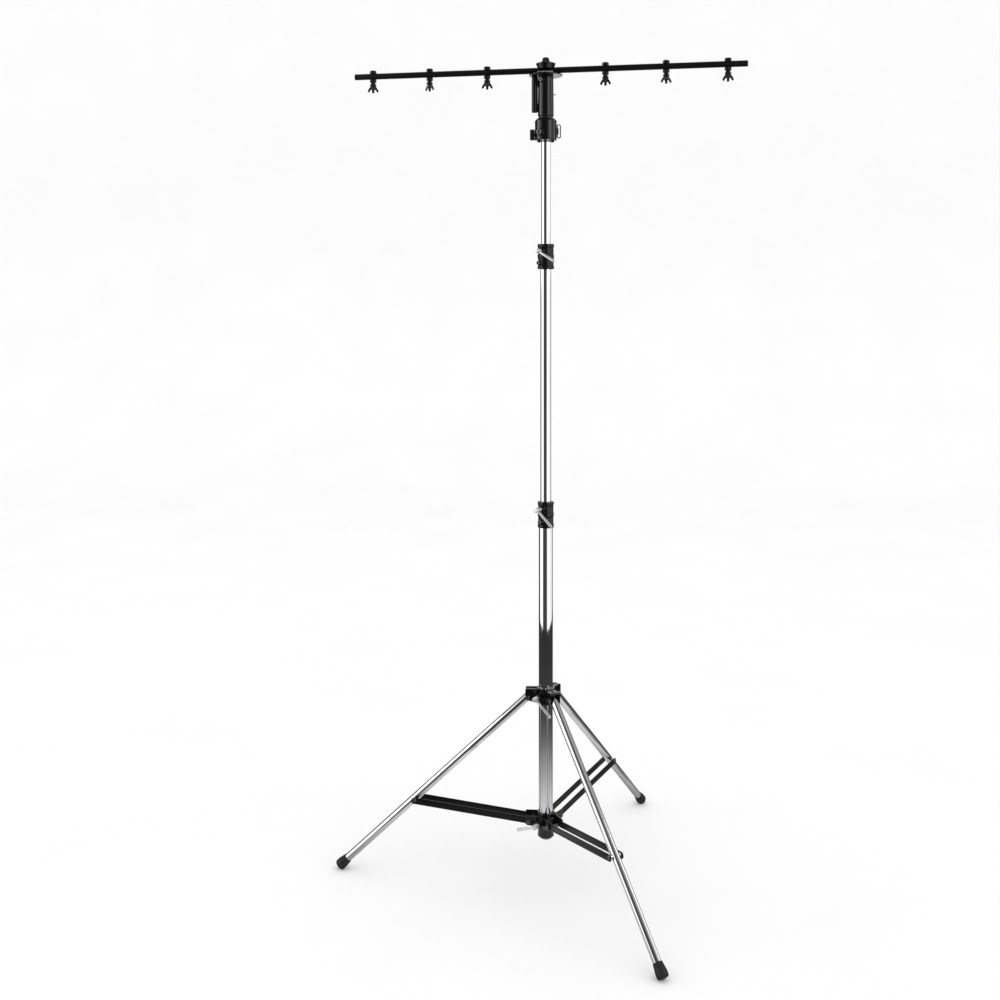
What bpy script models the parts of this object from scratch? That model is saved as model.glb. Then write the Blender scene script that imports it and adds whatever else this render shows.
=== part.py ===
"""Three-section lighting stand on a folding tripod, with a T-bar that carries six lamps.

Sizes are in metres, +Z is up and the floor is z = 0. The origin lies on the floor, at the middle of the
box around the stand. The column's axis is AXIS_X from it, along +X, because the left foot reaches further
than the T-bar does.
"""

import math

import bmesh
import bpy
from mathutils import Matrix, Vector

# Clearances
GAP = 0.0003                # between two pieces that touch
SLIDE_GAP = 0.0003          # radial, between a sliding or turning piece and its bore

# How far cutters run past the faces that they open
SHORT_OVERRUN = 0.001
OVERRUN = 0.010
CUTTER_HALF = 0.050         # half length of the cutters that run right through a piece

# Sides of turned pieces
COARSE = 12
CROSS = 14                  # cross bushes, whose corners miss those of the tubes
MEDIUM = 16
FINE = 24

# Base column and the plug that closes its foot
COLUMN_RADIUS = 0.0225
COLUMN_WALL = 0.002
COLUMN_LENGTH = 1.0067
PLUG_RADIUS = 0.0258
PLUG_HEIGHT = 0.036
PLUG_FLOOR = 0.010
PLUG_CHAMFER = 0.008
GROUND_CLEARANCE = 0.121    # floor to the underside of the plug

# Risers
MIDDLE_RADIUS = 0.0175
UPPER_RADIUS = 0.015
RISER_WALL = 0.0015
MIDDLE_LENGTH = 1.080
UPPER_LENGTH = 1.090
MIDDLE_EXTENSION = 0.7425   # bare length between the collars
UPPER_EXTENSION = 0.331
GUIDE_HEIGHT = 0.010
GUIDE_SPIGOT = 0.022
GUIDE_BORE = 0.009

# Clamp collars
BASE_COLLAR_RADIUS = 0.026
BASE_COLLAR_HEIGHT = 0.083
RISER_COLLAR_RADIUS = 0.0265
RISER_COLLAR_HEIGHT = 0.0805
COLLAR_GRIP = 0.025         # length of tube held in a collar
COLLAR_GROOVE = 0.0014
COLLAR_RIB = 0.010
COLLAR_EDGE = 0.0015
COLLAR_BOSS_RADIUS = 0.011
COLLAR_BOSS_REACH = 0.034   # from the column's axis
BASE_SCREW_RISE = 0.062     # from the collar's underside
RISER_SCREW_RISE = 0.058

# Clamp screws
SCREW_RADIUS = 0.005
SCREW_HEAD_RADIUS = 0.008
SCREW_HEAD_LENGTH = 0.017
SCREW_EDGE = 0.001
COLLAR_LEVER_REACH = 0.053  # column's axis to the tapered lever
SPIDER_LEVER_REACH = 0.062
LEVER_LENGTH = 0.074
LEVER_ROOT_RADIUS = 0.0036
LEVER_TIP_RADIUS = 0.0050
LEVER_AZIMUTH = math.radians(-120)
BASE_LEVER_SLOPE = math.radians(42)
RISER_LEVER_SLOPE = math.radians(29)
UPPER_LEVER_SLOPE = math.radians(41)
LOWER_LEVER_SLOPE = math.radians(159)

# Socket-head bolts
BOLT_HEAD_RADIUS = 0.0065
BOLT_HEAD_HEIGHT = 0.005
BOLT_SHANK_RADIUS = 0.0025
BOLT_SHANK_LENGTH = 0.0045
BOLT_SEAT_RADIUS = 0.0085
BOLT_SOCKET_RADIUS = 0.0034
BOLT_SOCKET_DEPTH = 0.003
BOLT_EDGE = 0.0008
BOLT_BOSS_DEPTH = 0.012
BASE_BOLT_AZIMUTH = math.radians(-128)
BASE_BOLT_RISE = 0.020
BASE_BOLT_SEAT = BASE_COLLAR_RADIUS + 0.0025    # column's axis to the head's seat
RISER_BOLT_AZIMUTH = math.radians(-138)
RISER_BOLT_RISE = 0.020
RISER_BOLT_SEAT = RISER_COLLAR_RADIUS + 0.0025

# Legs
LEG_AZIMUTHS = {"left": math.radians(180), "front": math.radians(-60), "rear": math.radians(60)}
LEG_RADIUS = 0.0125
LEG_WALL = 0.0015
LEG_TILT = math.radians(47.4)
LEG_REACH = 0.831           # pivot to the bottom of the foot
LEG_HEAD = 0.016            # tube above the pivot
LEG_BRACE_AT = 0.495        # pivot to the brace's pivot
LEG_PIVOT_RADIUS = 0.057    # column's axis to the leg's pivot
BUSH_RADIUS = 0.006
FOOT_RADIUS = 0.0175
FOOT_MOUTH_RADIUS = 0.0142
FOOT_LENGTH = 0.040
FOOT_SOLE = 0.012
FOOT_ROUNDING = 0.006
FOOT_LIP = 0.001
FOOT_TAPER_END = 0.016      # from the bottom of the foot
FOOT_FLAT = 0.0012          # depth of the flat that bears on the floor

# Braces
BRACE_PIVOT_RADIUS = 0.055  # column's axis to the brace's pivot
BRACE_PIVOT_RISE = 0.0217   # from the lower spider's underside
BRACE_HEIGHT = 0.020
BRACE_THICKNESS = 0.004
BRACE_SPACING = 0.040       # between the middles of a pair
BRACE_INNER_OFFSET = 0.003  # bar's middle above the pivot line, at the column
BRACE_OUTER_OFFSET = -0.0025
RIVET_RADIUS = 0.0065
RIVET_HEIGHT = 0.0025

# Pivot pins
PIN_RADIUS = 0.004
PIN_HEAD_RADIUS = 0.0065
PIN_HEAD_HEIGHT = 0.0025
PIN_EDGE = 0.0008

# Upper spider, which slides on the column
UPPER_HUB_RADIUS = 0.029
UPPER_HUB_TOP = 0.0305      # above the leg's pivot
UPPER_HUB_BOTTOM = 0.0210   # below the leg's pivot
UPPER_ARM_REACH = 0.065
UPPER_ARM_TOP = 0.0275
UPPER_ARM_BOTTOM = 0.0105
UPPER_ARM_CORNER = 0.004
UPPER_ARM_SETBACK = 0.002   # the rounded end's centre, inward from the leg's pivot
UPPER_ARM_STEP = 0.004      # the arm's root above the hub's underside
UPPER_HUB_EDGE = 0.002
UPPER_CHANNEL_SETOFF = 0.003    # hub to the channel between the cheeks
UPPER_WEB = 0.004
UPPER_CHEEK = 0.0035
UPPER_CHEEK_GAP = 0.001     # leg's side to the cheek
UPPER_BOSS_RADIUS = 0.010
UPPER_BOSS_REACH = 0.050
UPPER_SCREW_RISE = 0.0070   # above the leg's pivot

# Lower spider, at the foot of the column
LOWER_HUB_RADIUS = 0.0278
LOWER_SKIRT_RADIUS = 0.033
LOWER_SKIRT_HEIGHT = 0.030
LOWER_SPIDER_HEIGHT = 0.047
LOWER_ARM_REACH = 0.0655
LOWER_CHEEK = 0.004
LOWER_CHEEK_GAP = 0.0005    # bar's side to the cheek
LOWER_CORNER_RADIUS = 0.0036    # posts where the cheeks of two arms meet
LOWER_CORNER_STEP = 0.0008
LOWER_CHEEK_LOW = 0.0112    # from the spider's underside
LOWER_CHEEK_HIGH = 0.0402
LOWER_CHEEK_CORNER = 0.003
LOWER_CHEEK_STEP = 0.004    # the cheek's root below its tip's underside
LOWER_HUB_EDGE = 0.003
LOWER_WEB_SETOFF = 0.004    # column to web, and underside to web
LOWER_WEB_REACH = 0.038
LOWER_WEB_THICKNESS = 0.008
LOWER_BOSS_RADIUS = 0.0095
LOWER_BOSS_REACH = 0.048
LOWER_SCREW_RISE = 0.0185

# Top socket
SOCKET_RADIUS = 0.035
SOCKET_HEIGHT = 0.071
SOCKET_CHAMFER = 0.008
SOCKET_GRIP = 0.030
SPIGOT_RADIUS = 0.014
SPIGOT_LENGTH = 0.040
TIE_RADIUS = 0.0055
TIE_DROP = 0.006
TIE_OFFSET = 0.0215
TIE_ROOT = 0.002
KNOB_RADIUS = 0.0175
KNOB_THICKNESS = 0.0145
KNOB_EDGE = 0.002
KNOB_SEAT = SOCKET_RADIUS + 0.0006      # column's axis to the knob's face
KNOB_SHANK_RADIUS = 0.004
KNOB_RISE = 0.0185
KNOB_AZIMUTH = math.radians(180)
SOCKET_BOLT_AZIMUTH = math.radians(-118)
SOCKET_BOLT_RISE = 0.024
SOCKET_BOLT_SEAT = SOCKET_RADIUS + 0.0035
SOCKET_BOLT_SIZE = 1.35     # against the collars' bolts
LOOP_OFFSET = SOCKET_RADIUS + 0.002     # column's axis to the loop's hinge
LOOP_RISE = 0.029
LOOP_WIDTH = 0.0095
LOOP_HEIGHT = 0.042
LOOP_CORNER = 0.0042
LOOP_WIRE_RADIUS = 0.00175
LUG_RADIUS = 0.0042
LUG_LENGTH = 0.020

# Swivel washer and T-bar adaptor
WASHER_RADIUS = 0.023
WASHER_THICKNESS = 0.0054
ADAPTOR_LOW_RADIUS = 0.0255
ADAPTOR_TOP_RADIUS = 0.0243
ADAPTOR_HEIGHT = 0.129
SIDE_SOCKET_RADIUS = 0.010
SIDE_SOCKET_BORE = 0.008
SIDE_SOCKET_LENGTH = 0.115
ADAPTOR_BOLT_AZIMUTH = math.radians(-114)
ADAPTOR_BOLT_DROP = 0.014
ADAPTOR_BOLT_SEAT = ADAPTOR_TOP_RADIUS + 0.003
ADAPTOR_EDGE = 0.001
STUD_HOLE_CLEARANCE = 0.002     # below the end of the stud
RELEASE_PIN_RADIUS = 0.0016
RELEASE_PIN_DROP = 0.060
RELEASE_PIN_LENGTH = 0.022
RELEASE_PIN_REACH = 0.0345
RELEASE_PIN_TRAVEL = 0.004
PLATE_RADIUS = 0.054
PLATE_THICKNESS = 0.004
PLATE_EDGE = 0.001
CRADLE_LENGTH = 0.051
CRADLE_WIDTH = 0.028
CRADLE_HEIGHT = 0.0105

# T-bar and its clamp
BAR_TURN = math.radians(-6.6)
BAR_HALF_LENGTH = 0.634
BAR_RADIUS = 0.0097
BAR_WALL = 0.0015
BAR_FLOOR = 0.004           # cradle left under the bar
CLAMP_RADIUS = 0.032
CLAMP_FOOT_RADIUS = 0.025
CLAMP_LOW = 0.004           # above the bar's axis
CLAMP_HIGH = 0.023
CLAMP_RIM_EDGE = (0.0025, 0.0015)
CLAMP_FOOT_EDGE = (0.001, 0.002)
STUD_RADIUS = 0.005
STUD_LENGTH = 0.075
TOP_KNOB_RADIUS = 0.0148
TOP_KNOB_TIP_RADIUS = 0.0092
TOP_KNOB_HEIGHT = 0.0178
TOP_KNOB_EDGE = 0.0015

# Lamp bolts and wing nuts
LAMP_PITCH = 0.191
LAMP_COUNT = 6
LAMP_BOLT_RADIUS = 0.004
LAMP_CAP_RADIUS = 0.0107
LAMP_CAP_HEIGHT = 0.009
LAMP_CAP_CHAMFER = 0.0022
LOCK_NUT_RADIUS = 0.0105
LOCK_NUT_HEIGHT = 0.010
LAMP_COLLAR_RADIUS = 0.007
LAMP_COLLAR_HEIGHT = 0.0045
LAMP_BOLT_END = 0.0545      # below the bar's axis
LAMP_BOLT_EDGE = 0.001
WING_FLANGE_RADIUS = 0.0105
WING_FLANGE_HEIGHT = 0.008
WING_HUB_RADIUS = 0.0068
WING_HUB_HEIGHT = 0.012
WING_THICKNESS = 0.004
WING_SPREAD = 0.0175
WING_DROP = 0.027           # flange's top to the wing's tip
WING_EDGE = 0.001
WING_SHOULDER = 0.003       # flange's top to its widest ring
WING_ROOT = (-0.006, -0.018)    # where a wing leaves the hub, from the flange's top
WING_TURNS = [12, -24, 8, -10, 20, -6]

# Heights of the stack, from the floor up
PLUG_TOP = GROUND_CLEARANCE + PLUG_HEIGHT
COLUMN_BOTTOM = GROUND_CLEARANCE + PLUG_FLOOR + GAP
COLUMN_TOP = COLUMN_BOTTOM + COLUMN_LENGTH
LOWER_SPIDER_Z = PLUG_TOP + GAP
BRACE_PIVOT_Z = LOWER_SPIDER_Z + BRACE_PIVOT_RISE
BASE_COLLAR_Z = COLUMN_TOP - COLLAR_GRIP
BASE_COLLAR_TOP = BASE_COLLAR_Z + BASE_COLLAR_HEIGHT
RISER_COLLAR_Z = BASE_COLLAR_TOP + MIDDLE_EXTENSION
RISER_COLLAR_TOP = RISER_COLLAR_Z + RISER_COLLAR_HEIGHT
MIDDLE_TOP = RISER_COLLAR_Z + COLLAR_GRIP
MIDDLE_BOTTOM = MIDDLE_TOP - MIDDLE_LENGTH
SOCKET_Z = RISER_COLLAR_TOP + UPPER_EXTENSION
SOCKET_TOP = SOCKET_Z + SOCKET_HEIGHT
UPPER_TOP = SOCKET_Z + SOCKET_GRIP
UPPER_BOTTOM = UPPER_TOP - UPPER_LENGTH
WASHER_Z = SOCKET_TOP + GAP
ADAPTOR_Z = WASHER_Z + WASHER_THICKNESS + GAP
ADAPTOR_TOP = ADAPTOR_Z + ADAPTOR_HEIGHT
PLATE_Z = ADAPTOR_TOP + GAP
PLATE_TOP = PLATE_Z + PLATE_THICKNESS
BAR_Z = PLATE_TOP + BAR_FLOOR + GAP + BAR_RADIUS

# Leg and brace geometry, in the vertical plane of a leg
FOOT_EDGE = FOOT_RADIUS - FOOT_ROUNDING
FOOT_DROP = LEG_REACH * math.cos(LEG_TILT) - FOOT_ROUNDING * math.cos(LEG_TILT)
LEG_PIVOT_Z = FOOT_DROP + FOOT_EDGE * math.sin(LEG_TILT) + FOOT_ROUNDING - FOOT_FLAT
OUTER_PIVOT_X = LEG_PIVOT_RADIUS + LEG_BRACE_AT * math.sin(LEG_TILT)
OUTER_PIVOT_Z = LEG_PIVOT_Z - LEG_BRACE_AT * math.cos(LEG_TILT)
BRACE_RUN = OUTER_PIVOT_X - BRACE_PIVOT_RADIUS
BRACE_RISE = OUTER_PIVOT_Z - BRACE_PIVOT_Z
BRACE_LENGTH = math.hypot(BRACE_RUN, BRACE_RISE)
BRACE_SLOPE = math.atan2(BRACE_RISE, BRACE_RUN)

# The column's place in the box around the stand
FOOT_OUTWARD = (LEG_REACH - FOOT_ROUNDING) * math.sin(LEG_TILT) + FOOT_EDGE * math.cos(LEG_TILT)
FOOT_LIMIT = LEG_PIVOT_RADIUS + FOOT_OUTWARD + FOOT_ROUNDING
BAR_LIMIT = BAR_HALF_LENGTH * math.cos(BAR_TURN) + BAR_RADIUS * abs(math.sin(BAR_TURN))
AXIS_X = (FOOT_LIMIT - BAR_LIMIT) / 2

# Colour, roughness and metallic value of each material
FINISHES = {
    "chrome": ((0.80, 0.80, 0.81), 0.12, 1.0),
    "black_enamel": ((0.015, 0.015, 0.016), 0.25, 0.0),
    "black_steel": ((0.030, 0.030, 0.032), 0.35, 0.6),
    "grey_steel": ((0.55, 0.55, 0.56), 0.35, 1.0),
    "black_rubber": ((0.018, 0.018, 0.018), 0.75, 0.0),
    "black_plastic": ((0.022, 0.022, 0.023), 0.45, 0.0),
    "white_nylon": ((0.75, 0.74, 0.70), 0.50, 0.0),
}


# ---------------------------------------------------------------- scene and helpers

def clear_scene():
    for obj in list(bpy.data.objects):
        bpy.data.objects.remove(obj, do_unlink=True)


def new_collection(name):
    collection = bpy.data.collections.new(name)
    bpy.context.scene.collection.children.link(collection)
    return collection


def make_material(finish, name):
    color, roughness, metallic = FINISHES[finish]
    material = bpy.data.materials.new(name)
    material.use_nodes = True
    shader = material.node_tree.nodes["Principled BSDF"]
    shader.inputs["Base Color"].default_value = (*color, 1.0)
    shader.inputs["Roughness"].default_value = roughness
    shader.inputs["Metallic"].default_value = metallic
    material.diffuse_color = (*color, 1.0)
    return material


def pivot(name, parent, location=(0, 0, 0), rotation=(0, 0, 0)):
    """An empty that carries the pieces of one joint or one direction."""
    empty = bpy.data.objects.new(name, None)
    empty.empty_display_size = 0.03
    PARTS.objects.link(empty)
    empty.parent = parent
    empty.location = location
    empty.rotation_euler = rotation
    return empty


def add_part(name, mesh, finish, parent, location=(0, 0, 0), rotation=(0, 0, 0)):
    obj = bpy.data.objects.new(name, mesh)
    PARTS.objects.link(obj)
    obj.parent = parent
    obj.location = location
    obj.rotation_euler = rotation
    mesh.materials.append(make_material(finish, name))
    return obj


def add_tool(name, mesh, parent, location=(0, 0, 0), rotation=(0, 0, 0)):
    """A hidden shape that is cut from a part or joined to it."""
    obj = bpy.data.objects.new(name, mesh)
    TOOLS.objects.link(obj)
    obj.parent = parent
    obj.location = location
    obj.rotation_euler = rotation
    obj.hide_render = True
    obj.display_type = "WIRE"
    return obj


def combine(obj, tool, operation):
    modifier = obj.modifiers.new(tool.name, "BOOLEAN")
    modifier.object = tool
    modifier.operation = operation
    modifier.solver = "EXACT"


def cut(obj, *tools):
    for tool in tools:
        combine(obj, tool, "DIFFERENCE")


def join(obj, *tools):
    for tool in tools:
        combine(obj, tool, "UNION")


def mesh_from(shape, name):
    mesh = bpy.data.meshes.new(name)
    shape.to_mesh(mesh)
    shape.free()
    return mesh


def cylinder_mesh(radius, start, end, sides=MEDIUM, end_radius=None):
    """A cylinder or cone along +Z, from start to end."""
    shape = bmesh.new()
    tip = radius if end_radius is None else end_radius
    centre = Matrix.Translation((0, 0, (start + end) / 2))
    bmesh.ops.create_cone(
        shape, cap_ends=True, segments=sides, radius1=radius, radius2=tip,
        depth=end - start, matrix=centre,
    )
    return mesh_from(shape, "cylinder")


def box_mesh(low, high):
    shape = bmesh.new()
    size = [b - a for a, b in zip(low, high)]
    middle = [(a + b) / 2 for a, b in zip(low, high)]
    place = Matrix.Translation(middle) @ Matrix.Diagonal((*size, 1))
    bmesh.ops.create_cube(shape, size=1, matrix=place)
    return mesh_from(shape, "box")


def turned_mesh(profile, sides=MEDIUM, closed=False):
    """A profile of (radius, height) points, its outer side from top to bottom, turned about Z."""
    mesh = bpy.data.meshes.new("profile")
    points = [(radius, 0, height) for radius, height in profile]
    edges = [(i, i + 1) for i in range(len(points) - 1)]
    if closed:
        edges.append((len(points) - 1, 0))
    mesh.from_pydata(points, edges, [])
    guide = bpy.data.objects.new("turning", mesh)
    TOOLS.objects.link(guide)
    screw = guide.modifiers.new("turn", "SCREW")
    screw.steps = sides
    screw.render_steps = sides
    screw.use_merge_vertices = True
    screw.merge_threshold = 0.00002
    return solid_copy(guide, "turned")


def solid_copy(guide, name, weld=0.0):
    """The mesh of a guide object as its modifiers or its bevel make it. The guide is removed."""
    bpy.context.view_layer.update()
    graph = bpy.context.evaluated_depsgraph_get()
    mesh = bpy.data.meshes.new_from_object(guide.evaluated_get(graph))
    mesh.name = name
    bpy.data.objects.remove(guide, do_unlink=True)
    if weld:
        shape = bmesh.new()
        shape.from_mesh(mesh)
        bmesh.ops.remove_doubles(shape, verts=shape.verts, dist=weld)
        shape.to_mesh(mesh)
        shape.free()
    return mesh


def tube_mesh(outer, inner, low, high, sides=FINE):
    profile = [(outer, high), (outer, low), (inner, low), (inner, high)]
    return turned_mesh(profile, sides, closed=True)


def arc(centre, radius, start, end, steps):
    """Points on an arc, angles in degrees."""
    points = []
    for i in range(steps + 1):
        angle = math.radians(start + (end - start) * i / steps)
        points.append((centre[0] + radius * math.cos(angle), centre[1] + radius * math.sin(angle)))
    return points


def plate_mesh(outlines, thickness):
    """A flat plate in the XZ plane, its middle at y = 0. Outlines after the first are holes."""
    curve = bpy.data.curves.new("outline", "CURVE")
    curve.dimensions = "2D"
    curve.fill_mode = "BOTH"
    curve.extrude = thickness / 2
    for outline in outlines:
        spline = curve.splines.new("POLY")
        spline.points.add(len(outline) - 1)
        spline.use_cyclic_u = True
        for point, (x, y) in zip(spline.points, outline):
            point.co = (x, y, 0, 1)
    guide = bpy.data.objects.new("plate", curve)
    TOOLS.objects.link(guide)
    mesh = solid_copy(guide, "plate", weld=0.00001)
    mesh.transform(Matrix.Rotation(math.pi / 2, 4, "X"))
    return mesh


def wire_mesh(points, radius, cyclic):
    curve = bpy.data.curves.new("wire", "CURVE")
    curve.dimensions = "3D"
    curve.bevel_depth = radius
    curve.bevel_resolution = 2
    curve.use_fill_caps = not cyclic
    spline = curve.splines.new("POLY")
    spline.points.add(len(points) - 1)
    spline.use_cyclic_u = cyclic
    for point, place in zip(spline.points, points):
        point.co = (*place, 1)
    guide = bpy.data.objects.new("wire", curve)
    TOOLS.objects.link(guide)
    return solid_copy(guide, "wire", weld=0.00001)


def across(name, parent, radius, half_length, location=(0, 0, 0), sides=COARSE):
    """A cutter or filler along the parent's Y axis."""
    mesh = cylinder_mesh(radius, -half_length, half_length, sides)
    return add_tool(name, mesh, parent, location, (math.pi / 2, 0, 0))


def outward(name, parent, radius, start, end, sides=COARSE):
    """A cutter or filler along the parent's X axis."""
    mesh = cylinder_mesh(radius, start, end, sides)
    return add_tool(name, mesh, parent, (0, 0, 0), (0, math.pi / 2, 0))


def finish_part(obj):
    """Applies a part's modifiers and shades its round faces smooth."""
    graph = bpy.context.evaluated_depsgraph_get()
    mesh = bpy.data.meshes.new_from_object(obj.evaluated_get(graph))
    mesh.name = obj.name
    mesh.shade_smooth()
    mesh.set_sharp_from_angle(angle=math.radians(32))
    return mesh


# ---------------------------------------------------------------- shared pieces

def socket_bolt_mesh(size=1.0):
    """A bolt along +Z, its head's underside at z = 0."""
    head = BOLT_HEAD_RADIUS * size
    height = BOLT_HEAD_HEIGHT * size
    shank = BOLT_SHANK_RADIUS * size
    edge = BOLT_EDGE * size
    length = BOLT_SHANK_LENGTH
    profile = [(0, height), (head - edge, height), (head, height - edge), (head, 0), (shank, 0)]
    profile += [(shank, -length), (0, -length)]
    return turned_mesh(profile, MEDIUM)


def add_socket_bolt(name, holder, parent, azimuth, height, seat, size=1.0):
    """A bolt that points at the axis, in a boss that is joined to its holder."""
    frame = pivot(name + "_axis", parent, (0, 0, height), (0, 0, azimuth))
    boss = outward(name + "_boss", frame, BOLT_SEAT_RADIUS * size, seat - BOLT_BOSS_DEPTH, seat - GAP)
    join(holder, boss)
    depth = seat - BOLT_SHANK_LENGTH - GAP
    hole = outward(name + "_hole", frame, BOLT_SHANK_RADIUS * size + GAP, depth, seat + SHORT_OVERRUN)
    cut(holder, hole)
    bolt = add_part(name, socket_bolt_mesh(size), "grey_steel", frame, (seat, 0, 0), (0, math.pi / 2, 0))
    top = BOLT_HEAD_HEIGHT * size
    socket = cylinder_mesh(BOLT_SOCKET_RADIUS * size, top - BOLT_SOCKET_DEPTH * size, top + SHORT_OVERRUN, 6)
    cut(bolt, add_tool(name + "_socket", socket, frame, (seat, 0, 0), (0, math.pi / 2, 0)))
    return bolt


def pin_mesh(half_length):
    """A headed pin along Y, its heads past half_length on each side."""
    end = half_length + GAP + PIN_HEAD_HEIGHT
    seat = half_length + GAP
    rim = PIN_HEAD_RADIUS - PIN_EDGE
    side = end - PIN_EDGE
    profile = [(0, end), (rim, end), (PIN_HEAD_RADIUS, side), (PIN_HEAD_RADIUS, seat)]
    profile += [(PIN_RADIUS, seat), (PIN_RADIUS, -seat)]
    profile += [(PIN_HEAD_RADIUS, -seat), (PIN_HEAD_RADIUS, -side), (rim, -end), (0, -end)]
    mesh = turned_mesh(profile, COARSE)
    mesh.transform(Matrix.Rotation(math.pi / 2, 4, "X"))
    return mesh


def screw_mesh(tip, reach):
    """A clamp screw along +Z, from its tip to a head centred on reach."""
    half = SCREW_HEAD_LENGTH / 2
    edge = SCREW_EDGE
    top = reach + half
    low = reach - half
    profile = [(0, top), (SCREW_HEAD_RADIUS - edge, top), (SCREW_HEAD_RADIUS, top - edge)]
    profile += [(SCREW_HEAD_RADIUS, low), (SCREW_RADIUS, low), (SCREW_RADIUS, tip + edge)]
    profile += [(SCREW_RADIUS - edge, tip), (0, tip)]
    return turned_mesh(profile, MEDIUM)


def rod_along(name, parent, start, direction, length, root_radius, tip_radius, rotation):
    """A rod or cone from start along direction, both in the frame turned by rotation."""
    shape = cylinder_mesh(root_radius, 0, length, COARSE, tip_radius)
    turn = Vector(direction).to_track_quat("Z", "Y").to_matrix().to_4x4()
    shape.transform(Matrix.Translation(start) @ turn)
    return add_tool(name, shape, parent, (0, 0, 0), rotation)


def add_lever(name, parent, height, tube_radius, reach, slope):
    """A clamp screw with a tapered lever that leaves its head at slope below the horizontal."""
    frame = pivot(name + "_axis", parent, (0, 0, height), (0, 0, LEVER_AZIMUTH))
    facing = (0, math.pi / 2, 0)
    lever = add_part(name, screw_mesh(tube_radius + GAP, reach), "grey_steel", frame, (0, 0, 0), facing)
    direction = (math.sin(slope), math.cos(slope), 0)
    start = (0, 0, reach)
    rod = rod_along(name + "_rod", frame, start, direction, LEVER_LENGTH,
                    LEVER_ROOT_RADIUS, LEVER_TIP_RADIUS, facing)
    join(lever, rod)
    return frame


# ---------------------------------------------------------------- column and risers

def add_column(root):
    inner = COLUMN_RADIUS - COLUMN_WALL
    add_part("base_column", tube_mesh(COLUMN_RADIUS, inner, COLUMN_BOTTOM, COLUMN_TOP), "chrome", root)


def add_plug(root):
    bore = COLUMN_RADIUS + GAP
    floor = GROUND_CLEARANCE + PLUG_FLOOR
    low = GROUND_CLEARANCE
    profile = [(0, floor), (bore, floor), (bore, PLUG_TOP), (PLUG_RADIUS, PLUG_TOP)]
    profile += [(PLUG_RADIUS, low + PLUG_CHAMFER), (PLUG_RADIUS - PLUG_CHAMFER, low), (0, low)]
    add_part("column_plug", turned_mesh(profile, FINE), "black_plastic", root)


def add_riser(name, carrier, radius, low, high):
    add_part(name, tube_mesh(radius, radius - RISER_WALL, low, high), "chrome", carrier)


def add_guide(name, carrier, bore_radius, tube_radius, tube_bottom):
    """The nylon guide that closes a riser's lower end and runs in the tube around it."""
    outer = bore_radius - SLIDE_GAP
    spigot = tube_radius - RISER_WALL - GAP
    top = tube_bottom - GAP
    low = top - GUIDE_HEIGHT
    profile = [(spigot, top + GUIDE_SPIGOT), (spigot, top), (outer, top), (outer, low)]
    profile += [(GUIDE_BORE, low), (GUIDE_BORE, top + GUIDE_SPIGOT)]
    add_part(name, turned_mesh(profile, FINE, closed=True), "white_nylon", carrier)


def collar_profile(radius, height):
    """The outer side of a collar with three ribs."""
    groove = radius - COLLAR_GROOVE
    edge = COLLAR_EDGE
    rib = COLLAR_RIB
    high = (height + rib) / 2
    low = (height - rib) / 2
    profile = [(0, height), (radius - edge, height), (radius, height - edge), (radius, height - rib)]
    profile += [(groove, height - rib - edge), (groove, high + edge), (radius, high)]
    profile += [(radius, low), (groove, low - edge), (groove, rib + edge)]
    profile += [(radius, rib), (radius, edge), (radius - edge, 0), (0, 0)]
    return profile


def add_collar(name, carrier, bottom, radius, height, bores, screw_rise, bolt):
    """A collar whose lower bore grips a tube and whose upper bore guides the riser."""
    body = turned_mesh(collar_profile(radius, height), FINE)
    collar = add_part(name, body, "black_enamel", carrier, (0, 0, bottom))
    frame = pivot(name + "_boss_axis", carrier, (0, 0, bottom + screw_rise), (0, 0, LEVER_AZIMUTH))
    join(collar, outward(name + "_boss", frame, COLLAR_BOSS_RADIUS, radius / 2, COLLAR_BOSS_REACH, MEDIUM))
    azimuth, rise, seat = bolt
    add_socket_bolt(name + "_bolt", collar, carrier, azimuth, bottom + rise, seat)
    lower, upper = bores
    step = COLLAR_GRIP + GAP
    above = height + OVERRUN
    bore = [(0, above), (upper, above), (upper, step), (lower, step), (lower, -OVERRUN), (0, -OVERRUN)]
    cut(collar, add_tool(name + "_bore", turned_mesh(bore, FINE), carrier, (0, 0, bottom)))
    cut(collar, outward(name + "_hole", frame, SCREW_RADIUS + SLIDE_GAP, 0, COLLAR_BOSS_REACH + OVERRUN))


# ---------------------------------------------------------------- spiders

def upper_arm_outline(boss_x):
    """Side view of an arm, in the leg's plane, heights from the leg's pivot."""
    top = UPPER_ARM_TOP
    corner = UPPER_ARM_CORNER
    reach = UPPER_ARM_REACH
    outline = [(boss_x, top)]
    outline += arc((reach - corner, top - corner), corner, 90, 0, 3)
    outline += arc((LEG_PIVOT_RADIUS - UPPER_ARM_SETBACK, 0), UPPER_ARM_BOTTOM, 0, -100, 5)
    outline += [(boss_x, UPPER_ARM_STEP - UPPER_HUB_BOTTOM)]
    return outline


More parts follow.
